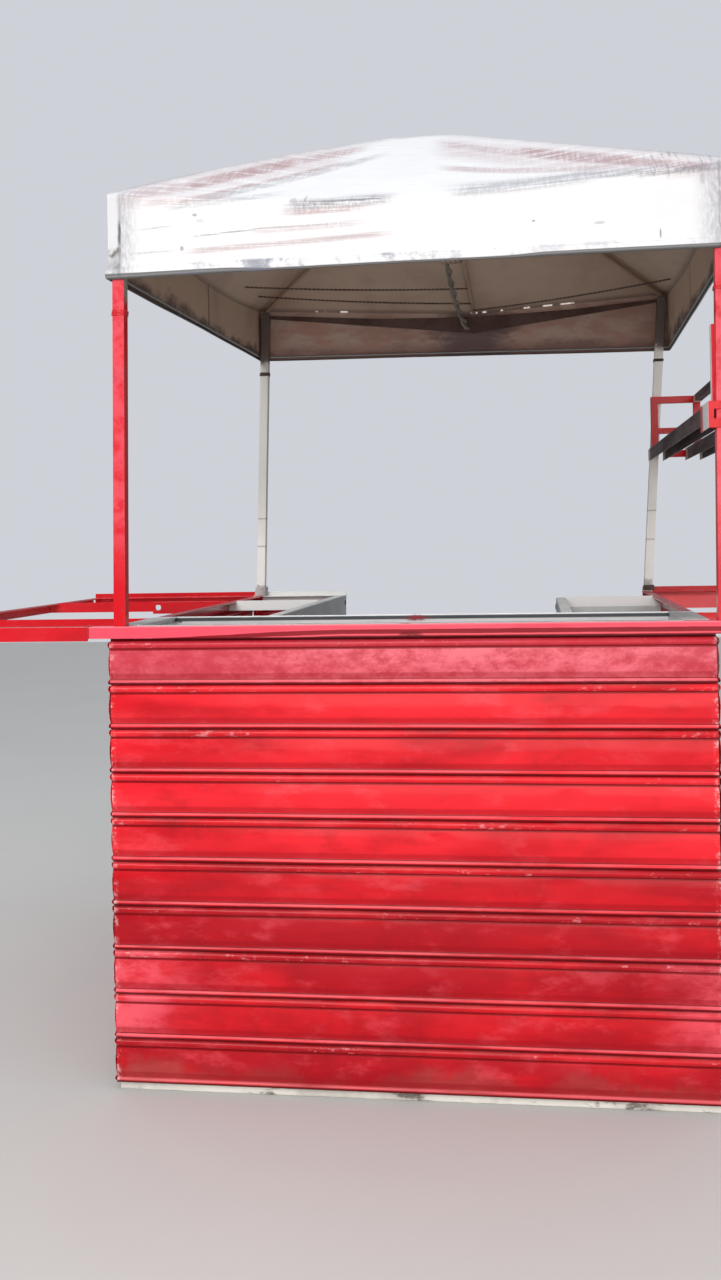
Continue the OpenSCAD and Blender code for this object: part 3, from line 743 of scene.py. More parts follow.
SIDES = ("left", "right")
BAR_NODES = ["tray_rear_rail"]
BAR_NODES += ["front_left_upright", "front_right_upright", "rear_left_upright", "rear_right_upright"]
BAR_NODES += [f"{side}_{part}" for side in SIDES
    for part in ("side_rail", "extension_bar", "cross_bars", "end_bar", "stub")]
FINISHES = {
    **{name: BAR_PAINT for name in BAR_NODES},
    "front_bar": FRONT_BAR_PAINT, "left_rear_bar": REAR_BAR_PAINT, "right_rear_bar": REAR_BAR_PAINT,
    "front_left_post": POST_PAINT, "front_right_post": POST_PAINT,
    "rear_left_post": POST_CREAM, "rear_right_post": POST_CREAM,
    **{name: RAIL_WHITE for name in ("front_bottom_rail", "left_bottom_rail", "right_bottom_rail",
        "wing_bottom_rails")},
    **{name: WING_WHITE for name in ("left_wing_uprights", "right_wing_uprights", "left_wing_bars",
        "right_wing_bars")},
    **{name: ZINC for name in ("left_inner_panel", "right_inner_panel", "right_end_panel")},
    "tray": TRAY_ZINC, "rack_frames": FRAME_PAINT,
    "hem_rods": HEM_STEEL,
    "rafters": ROD_TAN, "rear_brace": ROD_BROWN,
    "rack_rails": RAIL_GRIME,
}
for node_name, material in FINISHES.items():
    finish_node(node_name, material)
print("Painted CAD nodes:", len(FINISHES))

# %% [markdown]
# ## The laths
#
# A shutter lath is one strip of sheet, rolled along both edges. Its lower edge is a hook that hangs in
# the roll of the lath below, its face is slightly bowed, and a bead stiffens its upper part. It is
# rolled by the metre, so its shape is a rule and not a sculpture.
#
# That makes it work for Geometry Nodes. A grid is bent onto the profile: its columns run along the
# lath, and each row takes its place from one point of the profile. The lath is instanced up the wall,
# realised, and only then dented, so that no two laths are alike. A Solidify modifier gives the sheet
# its thickness at the end.

# %% The lath's profile
MM = 0.001
LATH_COUNT = 10
LATH_SHEET = 1.2 * MM
ROLL_BACK = 5.5 * MM
LATH_INWARD = ROLL_BACK + LATH_SHEET / 2
HOOK_RADIUS = 3.3 * MM
ROLL_RADIUS = 3.4 * MM
LATH_BOW = 2.4 * MM
BEAD_TOP = CREASE + 16 * MM
# The roll's shoulder and the undercut above it, as outward and height in millimetres
SHOULDER = [(4.6, -1.2), (4.1, 0.6), (2.9, 1.9), (1.3, 2.9), (0.7, 4.2), (0.9, 7), (1.9, 12), (2.8, 17)]


def arc(centre, radius, start, end, steps):
    """Points on an arc, as (outward, height) pairs. Angles are in degrees."""
    angles = [math.radians(start + (end - start) * i / steps) for i in range(steps + 1)]
    return [(centre[0] + radius * math.cos(a), centre[1] + radius * math.sin(a)) for a in angles]


def lath_profile(cut_top):
    """The middle line of one lath's sheet, from the tip of its hook to the tip of its upper roll."""
    points = [(-2 * MM, 2 * MM), (-2 * MM, -0.5 * MM)]
    points += arc((-2 * MM + HOOK_RADIUS, -3 * MM), HOOK_RADIUS, 180, 360, 8)
    points += [(out * MM, up * MM) for out, up in SHOULDER]
    for i in range(1, 10):
        k = 0.14 + 0.81 * i / 9
        points.append(((2 - 1.2 * k) * MM + LATH_BOW * math.sin(math.pi * k),
            9 * MM + (CREASE - 9 * MM) * k))
    points += [(0.75 * MM, CREASE - 0.6 * MM), (0.55 * MM, CREASE + 0.6 * MM)]
    for i in range(1, 8):
        k = i / 8
        points.append((0.2 * MM + 4.6 * MM * math.sin(math.pi * k) ** 0.8, CREASE + (1 + 15 * k) * MM))
    points += [(-2.4 * MM, BEAD_TOP), (-4.6 * MM, BEAD_TOP + 1.6 * MM), (-ROLL_BACK, BEAD_TOP + 4 * MM)]
    if cut_top:
        return points + [(-ROLL_BACK, LATH_PITCH - 2.3 * MM)]
    points += arc((-ROLL_BACK + ROLL_RADIUS, LATH_PITCH + 3 * MM), ROLL_RADIUS, 150, 0, 7)
    return points + [(-ROLL_BACK + 2 * ROLL_RADIUS, LATH_PITCH - 1 * MM),
        (-ROLL_BACK + 2 * ROLL_RADIUS, LATH_PITCH - 5.2 * MM)]


def points_object(name, places):
    """An object of loose points, for a geometry tree to read."""
    mesh = bpy.data.meshes.new(name)
    mesh.from_pydata(places, [], [])
    return new_object(name, mesh)


def profile_object(name, points):
    return points_object(name, [(0.0, -out - LATH_INWARD, up) for out, up in points])


PROFILE = profile_object("lath profile", lath_profile(False))
TOP_PROFILE = profile_object("top lath profile", lath_profile(True))
print("Points in the lath's profile:", len(PROFILE.data.vertices))


# %% A geometry tree with named inputs
def new_geometry_tree(name, inputs):
    tree, given, end = new_group(name, inputs, [("Geometry", "NodeSocketGeometry")], "GeometryNodeTree")
    return tree, given, end.inputs[0]


def gather(tree, parts):
    """Joins pieces of geometry inside a tree."""
    whole = add(tree, "GeometryNodeJoinGeometry")
    for part in parts:
        tree.links.new(part, whole.inputs[0])
    return whole.outputs[0]


def grow(name, tree, values, after=()):
    """Runs a geometry tree on an empty mesh and returns the result as a plain mesh object."""
    holder = new_object("grower", bpy.data.meshes.new("grower"))
    modifier = holder.modifiers.new("grow", "NODES")
    modifier.node_group = tree
    for item in tree.interface.items_tree:
        if item.in_out == "INPUT" and item.name in values:
            modifier[item.identifier] = values[item.name]
    for kind, settings in after:
        extra = holder.modifiers.new(kind.lower(), kind)
        for key, value in settings.items():
            setattr(extra, key, value)
    bpy.context.view_layer.update()
    graph = bpy.context.evaluated_depsgraph_get()
    mesh = bpy.data.meshes.new_from_object(holder.evaluated_get(graph))
    bpy.data.objects.remove(holder)
    mesh.name = name
    return new_object(name, mesh)


def smooth(piece, angle=35.0):
    """Smooth shading, with edges sharper than the angle kept crisp."""
    piece.data.polygons.foreach_set("use_smooth", [True] * len(piece.data.polygons))
    piece.data.set_sharp_from_angle(angle=math.radians(angle))
    piece.data.update()


# %% The lath wall tree
def one_lath(tree, profile, given):
    """A grid whose rows are laid on the profile's points and whose columns run along the lath."""
    source = add(tree, "GeometryNodeObjectInfo", {"Object": given[profile]}).outputs["Geometry"]
    count = made(tree, "GeometryNodeAttributeDomainSize", {"Geometry": source}, component="MESH")
    grid = add(tree, "GeometryNodeMeshGrid", {"Size X": 1.0, "Size Y": 1.0, "Vertices X": given["Columns"],
        "Vertices Y": count})
    spot = split(made(tree, "GeometryNodeInputPosition"))
    row = calc("ROUND", times(plus(spot["Y"], 0.5), minus(count, 1.0)))
    index = made(tree, "FunctionNodeFloatToInt", {0: row})
    on_profile = made(tree, "GeometryNodeSampleIndex", {"Geometry": source, "Index": index,
        "Value": made(tree, "GeometryNodeInputPosition")}, data_type="FLOAT_VECTOR")
    section = split(on_profile)
    along = times(plus(spot["X"], 0.5), given["Length"])
    place = point(along, section["Y"], section["Z"])
    noted = made(tree, "GeometryNodeStoreNamedAttribute", {"Geometry": grid.outputs["Mesh"],
        "Name": "phase", "Value": section["Z"]}, data_type="FLOAT", domain="POINT")
    return made(tree, "GeometryNodeSetPosition", {"Geometry": noted, "Position": place})


def dents(tree, given):
    """How far each point of the wall is pushed in or out and up or down."""
    place = made(tree, "GeometryNodeInputPosition")
    spot = split(place)
    height = minus(spot["Z"], LATH_FOOT)
    lath = calc("FLOOR", calc("DIVIDE", height, LATH_PITCH))
    own = plus(given["Seed"], times(lath, 3.7))
    broad = noise(place, 3.0, detail=1.5, seed=own)
    small = noise(place, 13.0, detail=2.0, seed=given["Seed"])
    knock = noise(place, 8.0, detail=0.0, seed=given["Seed"])
    wander = noise(point(spot["X"]), 1.7, detail=2.0, seed=own)
    phase = minus(height, times(lath, LATH_PITCH))
    face = times(ramp(phase, 0.004, 0.025), ramp(phase, CREASE, CREASE - 0.02))
    push = times(minus(broad, 0.5), given["Wave"])
    dent = times(minus(small, 0.5), given["Dent"])
    hit = times(ramp(knock, 0.62, 0.78), given["Knock"])
    on_face = times(plus(dent, hit), face)
    lift = times(minus(wander, 0.5), given["Wander"])
    shift = noise(point(0.0, 0.0, times(lath, 0.37)), 9.0, detail=0.0, seed=given["Seed"])
    slide = times(minus(shift, 0.5), given["Slide"])
    return point(slide, plus(push, on_face), lift)


def lath_wall_tree():
    tree, given, out = new_geometry_tree("lath wall", [
        ("Profile", OBJECT, None), ("Top profile", OBJECT, None), ("Length", FLOAT, 1.2),
        ("Columns", INT, 60), ("Laths", INT, LATH_COUNT), ("Pitch", FLOAT, LATH_PITCH),
        ("Foot", FLOAT, LATH_FOOT), ("Wave", FLOAT, 0.003), ("Dent", FLOAT, 0.0014),
        ("Knock", FLOAT, 0.002), ("Wander", FLOAT, 0.0022), ("Slide", FLOAT, 0.005),
        ("Seed", FLOAT, 1.0), ("Paint", MATERIAL, None)])
    step = point(0.0, 0.0, given["Pitch"])
    start = point(0.0, 0.0, given["Foot"])
    lower = made(tree, "FunctionNodeFloatToInt", {0: minus(given["Laths"], 1.0)})
    column = made(tree, "GeometryNodeMeshLine", {"Count": lower, "Start Location": start, "Offset": step})
    stack = made(tree, "GeometryNodeInstanceOnPoints", {"Points": column,
        "Instance": one_lath(tree, "Profile", given)})
    rise = plus(given["Foot"], times(given["Pitch"], lower))
    top = made(tree, "GeometryNodeTransform", {"Geometry": one_lath(tree, "Top profile", given),
        "Translation": point(0.0, 0.0, rise)})
    whole = gather(tree, [stack, top])
    real = made(tree, "GeometryNodeRealizeInstances", {0: whole})
    dented = made(tree, "GeometryNodeSetPosition", {"Geometry": real, "Offset": dents(tree, given)})
    painted = made(tree, "GeometryNodeSetMaterial", {"Geometry": dented, "Material": given["Paint"]})
    tree.links.new(painted, out)
    return tree


# %% Build the four walls
LATH_WALL = lath_wall_tree()


def lath_wall(name, node, turn, start, length, columns, seed):
    """Grows a wall along X with its outer face to -Y, then turns it and puts it in the node's place."""
    wall = grow(name, LATH_WALL, {"Profile": PROFILE, "Top profile": TOP_PROFILE, "Length": length,
        "Columns": columns, "Seed": seed, "Paint": LATH_PAINT},
        after=[("SOLIDIFY", {"thickness": LATH_SHEET, "offset": 0.0, "use_even_offset": True})])
    wall.data.transform(Matrix.Translation(start) @ Matrix.Rotation(math.radians(turn), 4, "Z"))
    wall.data.materials.clear()
    wall.data.materials.append(LATH_PAINT)
    smooth(wall)
    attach(wall, "root")
    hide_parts(node)
    return wall


low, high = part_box("front_laths")
lath_wall("front_lath_wall", "front_laths", 0, Vector((low.x, high.y, 0)), high.x - low.x, 110, 1.0)
low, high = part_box("left_laths")
lath_wall("left_lath_wall", "left_laths", -90, Vector((high.x, high.y, 0)), high.y - low.y, 90, 7.0)
low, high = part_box("right_laths")
lath_wall("right_lath_wall", "right_laths", 90, Vector((low.x, low.y, 0)), high.y - low.y, 90, 13.0)
low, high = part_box("wing_end_laths")
lath_wall("wing_end_lath_wall", "wing_end_laths", 180, Vector((high.x, low.y, 0)), high.x - low.x, 24, 19.0)
bpy.data.objects.remove(PROFILE)
bpy.data.objects.remove(TOP_PROFILE)

# %% [markdown]
# ## The canopy cloth
#
# The canopy is four triangles and a valance of white vinyl sheet, sewn into one cover and pulled over
# the rafters. A cushion would be simulated, but this cloth is stretched: its form follows from what
# holds it. It runs straight from the peak to the eave along each rafter, sags between the corners, and
# hangs from the eave to the hem rods. So every point is found by a formula, first on the tight form
# and then moved by folds, which are long and low because vinyl is stiff.
#
# The cloth also records where each point is on it: how far from a hip, from the eave and from the hem.
# The dirt needs that, because rain carries it along the hips and lets it drop at the hem.

# %% The tight form of the cloth
EAVE_HEIGHT = 1.850
SAG = 0.040
REAR_SAG = 0.036
REAR_DRAW = 0.044
DROOP = 0.006
cloth_low, cloth_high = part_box("canopy_cover")
CLOTH_MIDDLE = (cloth_low.x + cloth_high.x) / 2
POST_Y = 0.6775
SKEW_SLOPE = 0.009 / POST_Y
CLOTH_HALF = np.array([(cloth_high.x - cloth_low.x) / 2, (cloth_high.y - cloth_low.y) / 2])
CLOTH_HALF[0] -= SKEW_SLOPE * CLOTH_HALF[1]
PEAK_HEIGHT = cloth_high.z
HEM_HEIGHT = cloth_low.z
HEM_LIFT = 0.016
CORNERS = np.array([[-1, -1], [1, -1], [1, 1], [-1, 1]]) * CLOTH_HALF
CORNERS[:, 0] += SKEW_SLOPE * CORNERS[:, 1]
CELLS_A_SIDE = 72
OUTWARD = np.array([[0, -1], [1, 0], [0, 1], [-1, 0]])
# A corner point belongs to the side after it, so it also moves the way of the side before it
CORNER_OUT = np.zeros((4 * CELLS_A_SIDE, 2))
for corner in range(4):
    CORNER_OUT[corner * CELLS_A_SIDE] = OUTWARD[corner - 1]


def eave_line():
    """Points round the eave, with the side each is on and its share along that side."""
    k = np.arange(4 * CELLS_A_SIDE) / CELLS_A_SIDE
    side, s = np.floor(k).astype(int), k - np.floor(k)
    flat = CORNERS[side] * (1 - s)[:, None] + CORNERS[(side + 1) % 4] * s[:, None]
    middle = 0.5 - REAR_DRAW / (2 * CLOTH_HALF[0])
    point = REAR_SAG * np.where(s < middle, s / middle, (1 - s) / (1 - middle))
    drop = np.where(side == 2, point, SAG * (1 - (2 * s - 1) ** 2))
    return np.column_stack([flat[:, 0] + CLOTH_MIDDLE, flat[:, 1], EAVE_HEIGHT - drop]), side, s


def folds(place, scale, seed):
    """Smooth seeded noise made of a few sines, about -1 to 1, for each row of place."""
    rng = np.random.default_rng(seed)
    total = np.zeros(len(place))
    for octave in range(5):
        direction = rng.normal(size=place.shape[1]) * scale * 1.7 ** octave
        total += np.sin(place @ direction + rng.uniform(0, 6.28)) * 0.62 ** octave
    return total / 2.2


# %% [markdown]
# The top of the roof isn't a point: the cloth lies over a short bar, so the outline runs level for a
# hand's width there. The hem isn't an edge either. The cloth goes round the hem rod and ends under it,
# which is why the real hem shows as a grey cord and not as a cut.

# %% Rows of points from the ridge to the hem
RIDGE_LEFT, RIDGE_RIGHT = -0.036, 0.062
HEM_SLACK = 0.0050
HIP_LIFT = 0.0090
HEM_FOLD = [(0.0053, -0.0028), (0.0057, -0.0060), (0.0052, -0.0098), (0.0038, -0.0130), (0.0012, -0.0145),
    (-0.0012, -0.0136)]


def ridge_across(side, s):
    """How far to the side of the peak the ridge point of each point of the eave is."""
    share = np.choose(side, [s, np.ones_like(s), 1 - s, np.zeros_like(s)])
    share = share * share * (3 - 2 * share)
    return RIDGE_LEFT + (RIDGE_RIGHT - RIDGE_LEFT) * share - CLOTH_MIDDLE


def left_hips(side, s):
    """1 at the front left hip and a third of that at the rear left one, fading across the roof."""
    front = np.choose(side, [(1 - s) ** 2, 0 * s, 0 * s, s ** 2])
    rear = np.choose(side, [0 * s, 0 * s, s ** 2, (1 - s) ** 2])
    return front + rear / 3


def roof_rows(eave, side, s):
    peak = np.array([CLOTH_MIDDLE, 0, PEAK_HEIGHT])
    raised = left_hips(side, s)
    across = ridge_across(side, s)
    for r in np.append(np.linspace(0.02, 0.955, 42), [0.975, 0.988, 0.996]):
        place = peak * (1 - r) + eave * r
        place[:, 0] += across * (1 - r)
        between = np.sin(2 * np.pi * s) ** 2
        swell = np.sin(np.pi * r)
        wrinkle = folds(place, 7.0, 4) * 0.0016 * swell * (0.3 + 0.7 * between) + 0.0012 * swell
        droop = 6 * DROOP * r * r * (1 - r) * between
        hip_lift = HIP_LIFT * math.sin(math.pi * r) ** 0.7 * raised
        place[:, 2] += wrinkle - droop + hip_lift
        yield place, r - 1


def hem_height(eave):
    """The hem hangs level in front and higher towards the rear left corner."""
    left = (CLOTH_HALF[0] + CLOTH_MIDDLE + SKEW_SLOPE * eave[:, 1] - eave[:, 0]) / (2 * CLOTH_HALF[0])
    return HEM_HEIGHT + HEM_LIFT * left * (CLOTH_HALF[1] + eave[:, 1]) / (2 * CLOTH_HALF[1])


def valance_rows(eave, side, s):
    near = np.minimum(s, 1 - s)
    hem = hem_height(eave)
    for f in np.append([0.02, 0.06, 0.12], np.linspace(0.18, 1.0, 20)):
        place = eave.copy()
        place[:, 2] = eave[:, 2] * (1 - f) + hem * f
        ripple = folds(place * (1.0, 1.0, 0.35), 9.0, 9) * 0.0026
        pinch = folds(place * (1.0, 1.0, 0.12), 34.0, 2) * 0.0022 * np.exp(-near * 16)
        push = (ripple + pinch) * math.sin(math.pi * f) ** 0.6 * np.clip(near * 50, 0, 1)
        push += 0.0042 * max(0.0, (f - 0.9) / 0.1) ** 2
        place[:, :2] += OUTWARD[side] * push[:, None]
        yield place, f
    slack = np.clip(-eave[:, 0] / 0.6, 0, 1) * np.clip(-eave[:, 1] / 0.69, 0, 1) * HEM_SLACK
    for i, (out, down) in enumerate(HEM_FOLD):
        place = eave.copy()
        place[:, 2] = hem + down + folds(eave[:, :2], 9.0, 5) * 0.0007 * min(1, i) - slack * min(1, i / 2)
        place[:, :2] += OUTWARD[side] * out + CORNER_OUT * out
        yield place, 1 + 0.02 * (i + 1)


# %% Make the cloth one mesh that knows where each of its points is
def cloth_mesh():
    eave, side, s = eave_line()
    around = len(eave)
    points = [((RIDGE_LEFT + RIDGE_RIGHT) / 2, 0, PEAK_HEIGHT - 0.0005)]
    run, hip, front = [-1.0], [0.0], [1.0]
    on_front = ((side == 0) | ((side == 1) & (s == 0))).astype(float)
    length = np.where(side % 2 == 0, 2 * CLOTH_HALF[0], 2 * CLOTH_HALF[1])
    for place, at in [*roof_rows(eave, side, s), *valance_rows(eave, side, s)]:
        points.extend(map(tuple, place))
        run.extend([at] * around)
        hip.extend(np.minimum(s, 1 - s) * length * (1 + min(at, 0)))
        front.extend(on_front)
    rows = (len(points) - 1) // around
    faces = [(0, 1 + j, 1 + (j + 1) % around) for j in range(around)]
    for i in range(rows - 1):
        a, b = 1 + i * around, 1 + (i + 1) * around
        faces += [(a + j, b + j, b + (j + 1) % around, a + (j + 1) % around) for j in range(around)]
    mesh = bpy.data.meshes.new("canopy_cloth")
    mesh.from_pydata(points, [], faces)
    for name, values in (("run", run), ("hip", hip), ("front", front)):
        mesh.attributes.new(name, "FLOAT", "POINT").data.foreach_set("value", values)
    mesh.update()
    return mesh, rows


canopy_mesh, canopy_rows = cloth_mesh()
print("Canopy rows:", canopy_rows, "faces:", len(canopy_mesh.polygons))


# %% [markdown]
# ## Stains and painted shade on white vinyl
#
# Old vinyl isn't dirty all over. Dust bakes in along the hips, water leaves long streaks, and the hem
# is grey from hands and rope. The corner strip is folded over, with a painted shade line along its
# fold, and painted shade greys the valance near each corner and darkens it under the hem. A stain that
# follows the cloth needs the cloth's own coordinates. So each streak is a line between two points,
# given as metres across and as "run", which goes from -1 at the ridge over 0 at the eave to 1 at the
# hem. A long, thin noise breaks it up.

# %% Strokes of dirt
def stroke(across, run, start, end, width):
    """A soft band along the line from start to end. Both are (metres across, run)."""
    slope = (end[1] - start[1]) / (end[0] - start[0])
    line = plus(times(across, slope), start[1] - slope * start[0])
    off = calc("ABSOLUTE", minus(run, line))
    low, high = min(start[0], end[0]), max(start[0], end[0])
    return times(ramp(off, width * 1.15, width * 0.30), band(across, low, high, 0.07))


def strokes(across, run, lines):
    """The strongest of several strokes. Each line is (start, end, width, strength)."""
    total = 0.0
    for start, end, width, strength in lines:
        mark = times(stroke(across, run, start, end, width), strength)
        total = calc("MAXIMUM", mark, total)
    return total


PINK_STREAKS = [((-0.58, 0.06), (-0.16, -0.62), 0.22, 0.40), ((0.06, -0.74), (0.62, 0.06), 0.22, 0.40),
    ((-0.56, 0.02), (-0.44, -0.12), 0.09, 0.7), ((-0.46, -0.10), (-0.25, -0.49), 0.10, 1.0),
    ((-0.27, -0.46), (-0.13, -0.72), 0.08, 0.8), ((0.06, -0.80), (0.27, -0.47), 0.08, 0.7),
    ((0.24, -0.53), (0.50, -0.11), 0.10, 1.0), ((0.47, -0.15), (0.62, 0.08), 0.08, 0.9),
    ((0.09, -0.36), (0.46, -0.11), 0.055, 0.65), ((-0.46, 0.10), (-0.16, -0.50), 0.035, 0.8),
    ((-0.22, 0.21), (-0.06, 0.145), 0.075, 0.8), ((-0.42, 0.78), (-0.02, 0.61), 0.06, 0.6),
    ((-0.29, 0.50), (-0.06, 0.40), 0.07, 0.45), ((-0.52, 0.10), (-0.34, -0.06), 0.07, 0.5)]
GREY_STREAKS = [((-0.46, 0.16), (-0.08, -0.61), 0.06, 0.6), ((-0.21, 0.09), (-0.015, 0.03), 0.10, 1.2),
    ((0.12, -0.02), (0.40, -0.06), 0.12, 0.75), ((0.34, -0.085), (0.63, 0.08), 0.07, 0.9),
    ((-0.42, 0.57), (-0.26, 0.446), 0.018, 0.9), ((-0.26, 0.446), (-0.10, 0.40), 0.015, 0.6),
    ((-0.52, 0.46), (-0.46, 0.41), 0.020, 0.8), ((-0.43, 0.13), (-0.25, -0.08), 0.05, 0.5),
    ((-0.54, 0.79), (-0.45, 0.76), 0.020, 0.7)]
# Small marks, as metres across, run, half width, half height and strength
SPOTS = [(-0.410, 0.245, 0.007, 0.030, 0.9), (-0.438, 0.732, 0.005, 0.045, 0.9),
    (0.275, 0.547, 0.004, 0.018, 1.3), (0.403, 0.65, 0.013, 0.030, 0.5), (0.519, 0.865, 0.0025, 0.085, 1.0),
    (-0.181, 0.0, 0.0025, 0.06, 0.9), (-0.40, 0.33, 0.012, 0.035, 0.4), (-0.205, 0.02, 0.010, 0.05, 0.6),
    (0.60, 0.20, 0.006, 0.10, 0.5)]


# %% White vinyl outside
def vinyl_outside():
    material, shader, place = new_material("white vinyl outside", Coat_Weight=0.08, Coat_Roughness=0.3)
    run, hip, front = (stored(material.node_tree, name) for name in ("run", "hip", "front"))
    spot = split(place)
    across = spot["X"]
    flow = point(across, times(run, 0.75))
    streaky = noise(stretched(flow, (2.0, 26.0, 1.0)), 2.6, detail=6.0, roughness=0.7)
    weave = noise(stretched(flow, (60.0, 4.0, 1.0)), 2.6, detail=4.0, roughness=0.7)
    blotch = noise(place, 9.0, detail=6.0, roughness=0.7)
    rough_edge = plus(times(streaky, 0.7), times(weave, 0.3))
    broken = ramp(rough_edge, 0.36, 0.54)
    pink = times(strokes(across, run, PINK_STREAKS), front)
    grey = times(strokes(across, run, GREY_STREAKS), front)
    colour = blend(ramp(blotch, 0.35, 0.65), (0.76, 0.76, 0.76), (0.72, 0.71, 0.72))
    haze = times(ramp(streaky, 0.50, 0.72, 0.0, 0.28), ramp(run, 1.0, -0.3, 0.25, 1.0))
    colour = blend(haze, colour, (0.50, 0.42, 0.44))
    colour = blend(times(pink, broken, 0.95), colour, (0.34, 0.20, 0.21))
    colour = blend(times(grey, ramp(rough_edge, 0.38, 0.56), 0.9), colour, (0.22, 0.21, 0.23))
    for x, at, wide, high, strength in SPOTS:
        away = oval(across, run, (x, at), (wide, high))
        mark = calc("MULTIPLY", times(ramp(away, 1.0, 0.2), front), strength, clamp=True)
        colour = blend(mark, colour, (0.32, 0.28, 0.32))
    roof = ramp(run, 0.02, -0.03)
    side_dirt = times(minus(1.0, front), band(hip, 0.04, 0.15, 0.08))
    side_dirt = times(side_dirt, roof, broken)
    colour = blend(times(side_dirt, 0.7), colour, (0.36, 0.24, 0.24))
    ridge = times(ramp(hip, 0.030, 0.002), roof, ramp(blotch, 0.30, 0.60, 0.30, 0.8))
    colour = blend(times(ridge, 0.75), colour, (0.30, 0.28, 0.30))
    hatch = times(band(across, 0.49, 0.63, 0.05), band(run, -0.20, 0.12, 0.10))
    hatch = times(hatch, front, ramp(weave, 0.50, 0.66))
    colour = blend(times(hatch, 0.8), colour, (0.22, 0.20, 0.22))
    return material, shader, place, colour, (run, hip, front, spot, weave, blotch)


def vinyl_edges(kit):
    """The corner strip, the seam and the hem, over the streaks, with painted shade near the corners,
    along the strip's fold and under the hem.
    """
    material, shader, place, colour, (run, hip, front, spot, weave, blotch) = kit
    valance = ramp(run, -0.06, 0.02)
    # Greyer near each corner of the valance: painted shade, broken up into streaks.
    down = times(ramp(hip, 0.085, 0.026), valance)
    down = times(down, ramp(weave, 0.30, 0.62, 0.25, 1.0))
    colour = blend(times(down, 0.75), colour, (0.30, 0.29, 0.33))
    strip = times(ramp(hip, 0.027, 0.023), valance, front)
    on_left = ramp(spot["X"], -0.2, -0.4)
    strip = times(strip, on_left)
    colour = blend(strip, colour, (0.60, 0.60, 0.61))
    low_strip = times(ramp(run, 0.70, 0.78), strip, ramp(blotch, 0.38, 0.6))
    colour = blend(low_strip, colour, (0.20, 0.20, 0.21))
    # A painted shade line along the fold of the corner strip.
    wavy = plus(hip, times(minus(blotch, 0.5), 0.012))
    fold_shade = times(band(wavy, 0.021, 0.027, 0.005), times(front, on_left))
    fold_shade = times(fold_shade, plus(0.30, band(run, 0.38, 0.66, 0.16)))
    colour = blend(times(fold_shade, valance, 0.85), colour, (0.13, 0.13, 0.14))
    # Under the hem the cloth is painted dark as shade, with a grey line in it.
    low = minus(run, times(band(spot["X"], -0.30, 0.26, 0.12), 0.022))
    colour = blend(ramp(low, 1.034, 1.044), colour, (0.11, 0.11, 0.11))
    colour = blend(band(low, 1.052, 1.064, 0.014), colour, (0.22, 0.21, 0.21))
    seam = band(run, 0.955, 0.970, 0.012)
    colour = blend(times(seam, ramp(weave, 0.4, 0.6, 0.05, 0.5)), colour, (0.40, 0.38, 0.42))
    grime = times(band(run, 0.93, 1.2, 0.05), ramp(blotch, 0.50, 0.60))
    grime = times(grime, ramp(calc("ABSOLUTE", plus(spot["X"], 0.16)), 0.34, 0.10, 0.35, 1.0))
    colour = blend(times(grime, 0.8), colour, (0.16, 0.17, 0.22))
    grain = noise(place, 260.0, detail=2.0)
    strip_edge = bump(ramp(hip, 0.022, 0.028), 0.5, 0.003)
    fill(shader, Base_Color=colour, Roughness=ramp(blotch, 0.3, 0.7, 0.36, 0.52),
        Normal=bump(grain, 0.10, 0.0004, strip_edge))
    return material


VINYL_OUT = vinyl_edges(vinyl_outside())


